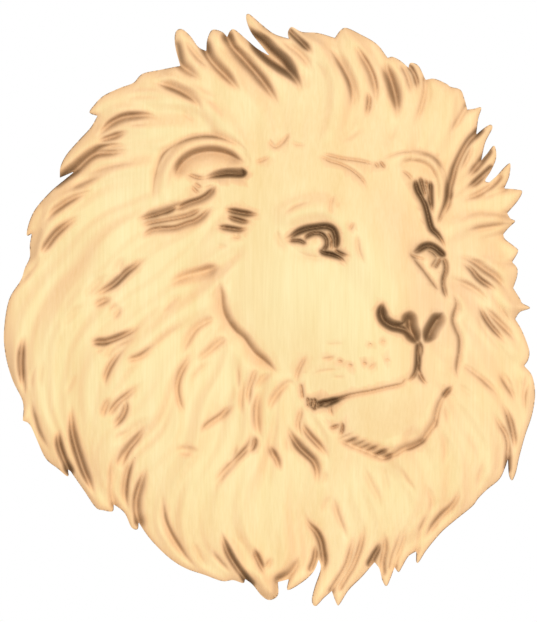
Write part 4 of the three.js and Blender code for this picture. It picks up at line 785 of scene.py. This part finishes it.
def outline_loop(edges):
    """The vertices along the outline, in order."""
    following = dict(edges.tolist())
    loops = []
    while following:
        start, at = following.popitem()
        loop = [start]
        while at != start:
            loop.append(at)
            at = following.pop(at)
        loops.append(loop)
    return max(loops, key=len)


def plaque_mesh(name, relief, heights, distance):
    """The carved front, the edge of the board and the flat back as one closed mesh, in metres."""
    places, triangles, edges = front_faces(relief, heights, distance)
    used, triangles = np.unique(triangles, return_inverse=True)
    triangles = triangles.reshape(-1, 3)
    renumbered = {old: new for new, old in enumerate(used.tolist())}
    front = places[used]
    loop = [renumbered[k] for k in outline_loop(edges)]
    back = len(front) + np.arange(len(loop))
    x, y, height = np.vstack([front, front[loop] * [1, 1, 0]]).T
    vertices = np.stack([x - MIDDLE_X, -height, MIDDLE_Y - y], axis=1) * UNIT
    after = np.roll(loop, -1)
    walls = np.stack([loop, after, np.roll(back, -1), back], axis=1)
    mesh = bpy.data.meshes.new(name)
    corners = np.concatenate([triangles.ravel(), walls.ravel(), back])
    sizes = np.concatenate([np.full(len(triangles), 3), np.full(len(walls), 4), [len(back)]])
    mesh.vertices.add(len(vertices))
    mesh.vertices.foreach_set("co", vertices.ravel())
    mesh.loops.add(len(corners))
    mesh.loops.foreach_set("vertex_index", corners)
    mesh.polygons.add(len(sizes))
    mesh.polygons.foreach_set("loop_start", np.concatenate([[0], np.cumsum(sizes)[:-1]]))
    mesh.polygons.foreach_set("loop_total", sizes)
    mesh.update(calc_edges=True)
    mesh.validate(verbose=True)
    return mesh


def paint_slope_shade(mesh, relief, heights):
    """Marks on the mesh how far each place faces forward, taking in the slopes close by, for the painted
    shade.
    So the floor of a narrow cut counts with its sides, and the painted shade falls on it too.
    The back has no painted shade."""
    slope = np.hypot(*np.gradient(heights, relief.pitch))
    slope = np.cbrt(blur(slope**3, SHADE_SPREAD / relief.pitch))
    places = np.empty(3 * len(mesh.vertices), np.float32)
    mesh.vertices.foreach_get("co", places)
    x, y, z = places.reshape(-1, 3).T / UNIT
    slope = between(slope, (x + MIDDLE_X) / relief.pitch, (MIDDLE_Y - z) / relief.pitch)
    facing = np.where(y < -THINNEST / 2, 1 / np.hypot(1, slope), 1)
    mesh.attributes.new("facing", "FLOAT", "POINT").data.foreach_set("value", facing.astype(np.float32))


def carved_plaque():
    """The plaque as one piece, in place of its plain solid."""
    relief, heights, distance = carve_relief()
    mesh = plaque_mesh("lion_relief_carved", relief, heights, distance)
    piece = bpy.data.objects.new("lion_relief_carved", mesh)
    bpy.context.scene.collection.objects.link(piece)
    bpy.context.view_layer.objects.active = piece
    thinner = piece.modifiers.new("fewer_triangles", "DECIMATE")
    thinner.ratio = TRIANGLES / sum(len(p.vertices) - 2 for p in mesh.polygons)
    thinner.use_collapse_triangulate = True
    bpy.ops.object.modifier_apply(modifier=thinner.name)
    # Painted shade: marks how far each place turns away from the front
    paint_slope_shade(mesh, relief, heights)
    mesh.shade_smooth()
    mesh.set_sharp_from_angle(angle=SHARP_ANGLE)
    mesh.materials.append(carved_wood())
    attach(piece, "root")
    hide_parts("lion_relief")


def carved_wood():
    """Pale close-grained wood, sealed matt, with painted shade that darkens it on slopes and in the cuts.
    """
    wood = bpy.data.materials.new("carved_wood")
    wood.use_nodes = True
    nodes, links = wood.node_tree.nodes, wood.node_tree.links
    shader = nodes["Principled BSDF"]
    shader.inputs["Specular IOR Level"].default_value = SHEEN
    place = nodes.new("ShaderNodeTexCoord")

    facing = nodes.new("ShaderNodeVectorMath")
    facing.operation = "DOT_PRODUCT"
    facing.inputs[1].default_value = (0, -1, 0)
    links.new(place.outputs["Normal"], facing.inputs[0])
    either_way = nodes.new("ShaderNodeMath")
    either_way.operation = "ABSOLUTE"
    links.new(facing.outputs["Value"], either_way.inputs[0])
    marked = nodes.new("ShaderNodeAttribute")
    marked.attribute_name = "facing"
    steepest = nodes.new("ShaderNodeMath")
    steepest.operation = "MINIMUM"
    links.new(either_way.outputs["Value"], steepest.inputs[0])
    links.new(marked.outputs["Fac"], steepest.inputs[1])
    # Painted shade: the colour darkens as the surface turns away from the front, the sides of the board
    # included
    painted_shade_ramp = colour_ramp(nodes, PAINTED_SHADE)
    links.new(steepest.outputs["Value"], painted_shade_ramp.inputs["Fac"])

    fibres = grain_noise(nodes, links, place, FIBRE)
    rings = grain_noise(nodes, links, place, RINGS)
    pores = grain_noise(nodes, links, place, PORES)
    patches = grain_noise(nodes, links, place, PATCHES)
    colour = painted_shade_ramp.outputs["Color"]
    for noise, tints in ((rings, RING_TINTS), (fibres, FIBRE_TINTS), (patches, PATCH_TINTS)):
        tint = colour_ramp(nodes, tints)
        links.new(noise, tint.inputs["Fac"])
        mixed = nodes.new("ShaderNodeMix")
        mixed.data_type = "RGBA"
        mixed.blend_type = "MULTIPLY"
        mixed.inputs["Factor"].default_value = 1
        links.new(colour, mixed.inputs["A"])
        links.new(tint.outputs["Color"], mixed.inputs["B"])
        colour = mixed.outputs["Result"]
    links.new(colour, shader.inputs["Base Color"])

    gloss = nodes.new("ShaderNodeMapRange")
    gloss.inputs["To Min"].default_value, gloss.inputs["To Max"].default_value = ROUGHNESS
    links.new(patches, gloss.inputs["Value"])
    links.new(gloss.outputs["Result"], shader.inputs["Roughness"])

    pitted = nodes.new("ShaderNodeMath")
    pitted.operation = "ADD"
    links.new(fibres, pitted.inputs[0])
    links.new(pores, pitted.inputs[1])
    bump = nodes.new("ShaderNodeBump")
    bump.inputs["Distance"].default_value = GRAIN_DEPTH
    bump.inputs["Strength"].default_value = GRAIN_STRENGTH
    links.new(pitted.outputs["Value"], bump.inputs["Height"])
    links.new(bump.outputs["Normal"], shader.inputs["Normal"])
    return wood


def grain_noise(nodes, links, place, noise):
    """Noise of its own width, drawn out along the grain, which runs up the board."""
    width, stretch, detail = noise
    squeeze = nodes.new("ShaderNodeMapping")
    squeeze.inputs["Scale"].default_value = (1 / width, 1 / width, 1 / width / stretch)
    links.new(place.outputs["Object"], squeeze.inputs["Vector"])
    texture = nodes.new("ShaderNodeTexNoise")
    texture.inputs["Scale"].default_value = 1
    texture.inputs["Detail"].default_value = detail
    links.new(squeeze.outputs["Vector"], texture.inputs["Vector"])
    return texture.outputs["Fac"]


def colour_ramp(nodes, stops):
    """A ramp through colours given as their places and values of 0 to 255."""
    node = nodes.new("ShaderNodeValToRGB")
    ramp = node.color_ramp.elements
    for place, _ in stops[1:-1]:
        ramp.new(place)
    for element, (place, colour) in zip(ramp, stops):
        element.position = place
        element.color = (*[linear(value) for value in colour], 1)
    return node


def linear(value):
    """A colour value of 0 to 255, as a share of the light."""
    value /= 255
    return value / 12.92 if value <= 0.04045 else ((value + 0.055) / 1.055) ** 2.4


def plain(name, colour):
    """A plain material of one colour."""
    material = bpy.data.materials.new(name)
    material.use_nodes = True
    material.node_tree.nodes["Principled BSDF"].inputs["Base Color"].default_value = (*colour, 1)
    return material


def studio():
    """A pale floor below the plaque, and soft light from the front, a little from the upper right."""
    bpy.ops.mesh.primitive_plane_add(size=FLOOR_SIZE, location=(0, FLOOR_MIDDLE, FLOOR))
    floor = bpy.context.object
    floor.name = "floor"
    floor.data.materials.append(plain("pale_floor", FLOOR_COLOUR))
    sun = bpy.data.objects.new("sun", bpy.data.lights.new("sun", "SUN"))
    sun.data.energy = SUN
    sun.data.angle = math.radians(SUN_SPREAD)
    sun.rotation_euler = Vector(SUN_FROM).to_track_quat("Z", "Y").to_euler()
    bpy.context.scene.collection.objects.link(sun)
    world = bpy.data.worlds.new("studio")
    bpy.context.scene.world = world
    world.use_nodes = True
    nodes, links = world.node_tree.nodes, world.node_tree.links
    nodes["Background"].inputs["Color"].default_value = (1, 1, 1, 1)
    nodes["Background"].inputs["Strength"].default_value = AMBIENT
    seen = nodes.new("ShaderNodeBackground")
    seen.inputs["Color"].default_value = (1, 1, 1, 1)
    seen.inputs["Strength"].default_value = BACKDROP
    path = nodes.new("ShaderNodeLightPath")
    mix = nodes.new("ShaderNodeMixShader")
    links.new(path.outputs["Is Camera Ray"], mix.inputs["Fac"])
    links.new(nodes["Background"].outputs["Background"], mix.inputs[1])
    links.new(seen.outputs["Background"], mix.inputs[2])
    links.new(mix.outputs["Shader"], nodes["World Output"].inputs["Surface"])
    bpy.context.scene.view_settings.view_transform = "Standard"


def camera():
    """Straight in front, far off, with the photograph's frame."""
    data = bpy.data.cameras.new("camera")
    data.sensor_fit = "VERTICAL"
    data.sensor_height = SENSOR
    data.lens = SENSOR * DISTANCE / (PICTURE_HEIGHT * UNIT)
    data.clip_end = SIGHT
    seat = bpy.data.objects.new("camera", data)
    bpy.context.scene.collection.objects.link(seat)
    aim_x = (PICTURE_WIDTH / 2 - MIDDLE_X) * UNIT
    aim_z = (MIDDLE_Y - PICTURE_HEIGHT / 2) * UNIT
    seat.location = (aim_x, -DISTANCE - DEPTH_SEEN, aim_z)
    seat.rotation_euler = (math.radians(90), 0, 0)
    bpy.context.scene.camera = seat


low, high = (Vector(corner) for corner in cad_box)
UNIT = (high.z - low.z) / (BOTTOM - TOP)  # metres in a drawing unit
TRIANGLES = 190000  # that the plaque is thinned out to
SHARP_ANGLE = math.radians(60)  # between faces that aren't shaded as one
SHADE_SPREAD = 1.2  # how far around a place its slopes count, in drawing units
# The wood's own pale colour where a place faces forward, and painted shade, darker brown, as it turns away:
# from places that face sideways to those that face forward
PAINTED_SHADE = [
    (0.0, (196, 156, 112)),
    (0.15, (150, 116, 82)),
    (0.35, (126, 98, 70)),
    (0.45, (148, 118, 87)),
    (0.58, (184, 149, 113)),
    (0.70, (215, 176, 136)),
    (0.80, (238, 198, 154)),
    (0.89, (251, 212, 165)),
    (0.95, (253, 221, 171)),
    (0.985, (253, 230, 178)),
    (1.0, (253, 238, 186)),
]

# The grain: width of its streaks in metres, how many times longer they are, and detail
FIBRE = (0.0011, 22, 3)
RINGS = (0.009, 30, 1.5)
PORES = (0.00035, 7, 2)
PATCHES = (0.035, 1.6, 2)
FIBRE_TINTS = [(0.3, (250, 247, 241)), (0.7, (255, 255, 255))]
RING_TINTS = [(0.3, (252, 248, 242)), (0.7, (255, 255, 255))]
PATCH_TINTS = [(0.3, (253, 249, 243)), (0.7, (255, 255, 255))]
ROUGHNESS = (0.58, 0.8)
SHEEN = 0.12
GRAIN_DEPTH = 0.00003  # in metres
GRAIN_STRENGTH = 0.5

# The studio, in metres
FLOOR = low.z - 0.06
FLOOR_SIZE, FLOOR_MIDDLE = 1.6, -0.15
FLOOR_COLOUR = (0.85, 0.85, 0.85)
SUN = 1.78
SUN_SPREAD = 12  # in degrees
SUN_FROM = (0.2, -1, 0.27)
AMBIENT = 0.5  # brightness of the room, as it lights the plaque
BACKDROP = 1.0  # and as the camera sees it

# The camera, in metres, but for its sensor in millimetres and its picture in drawing units
DISTANCE = 4.0  # to the plane that its picture is measured on
DEPTH_SEEN = 0.02  # how far that plane lies in front of the flat back
SENSOR = 24
SIGHT = 50  # how far it sees
PICTURE_WIDTH, PICTURE_HEIGHT = 537, 622

camera()
studio()
carved_plaque()
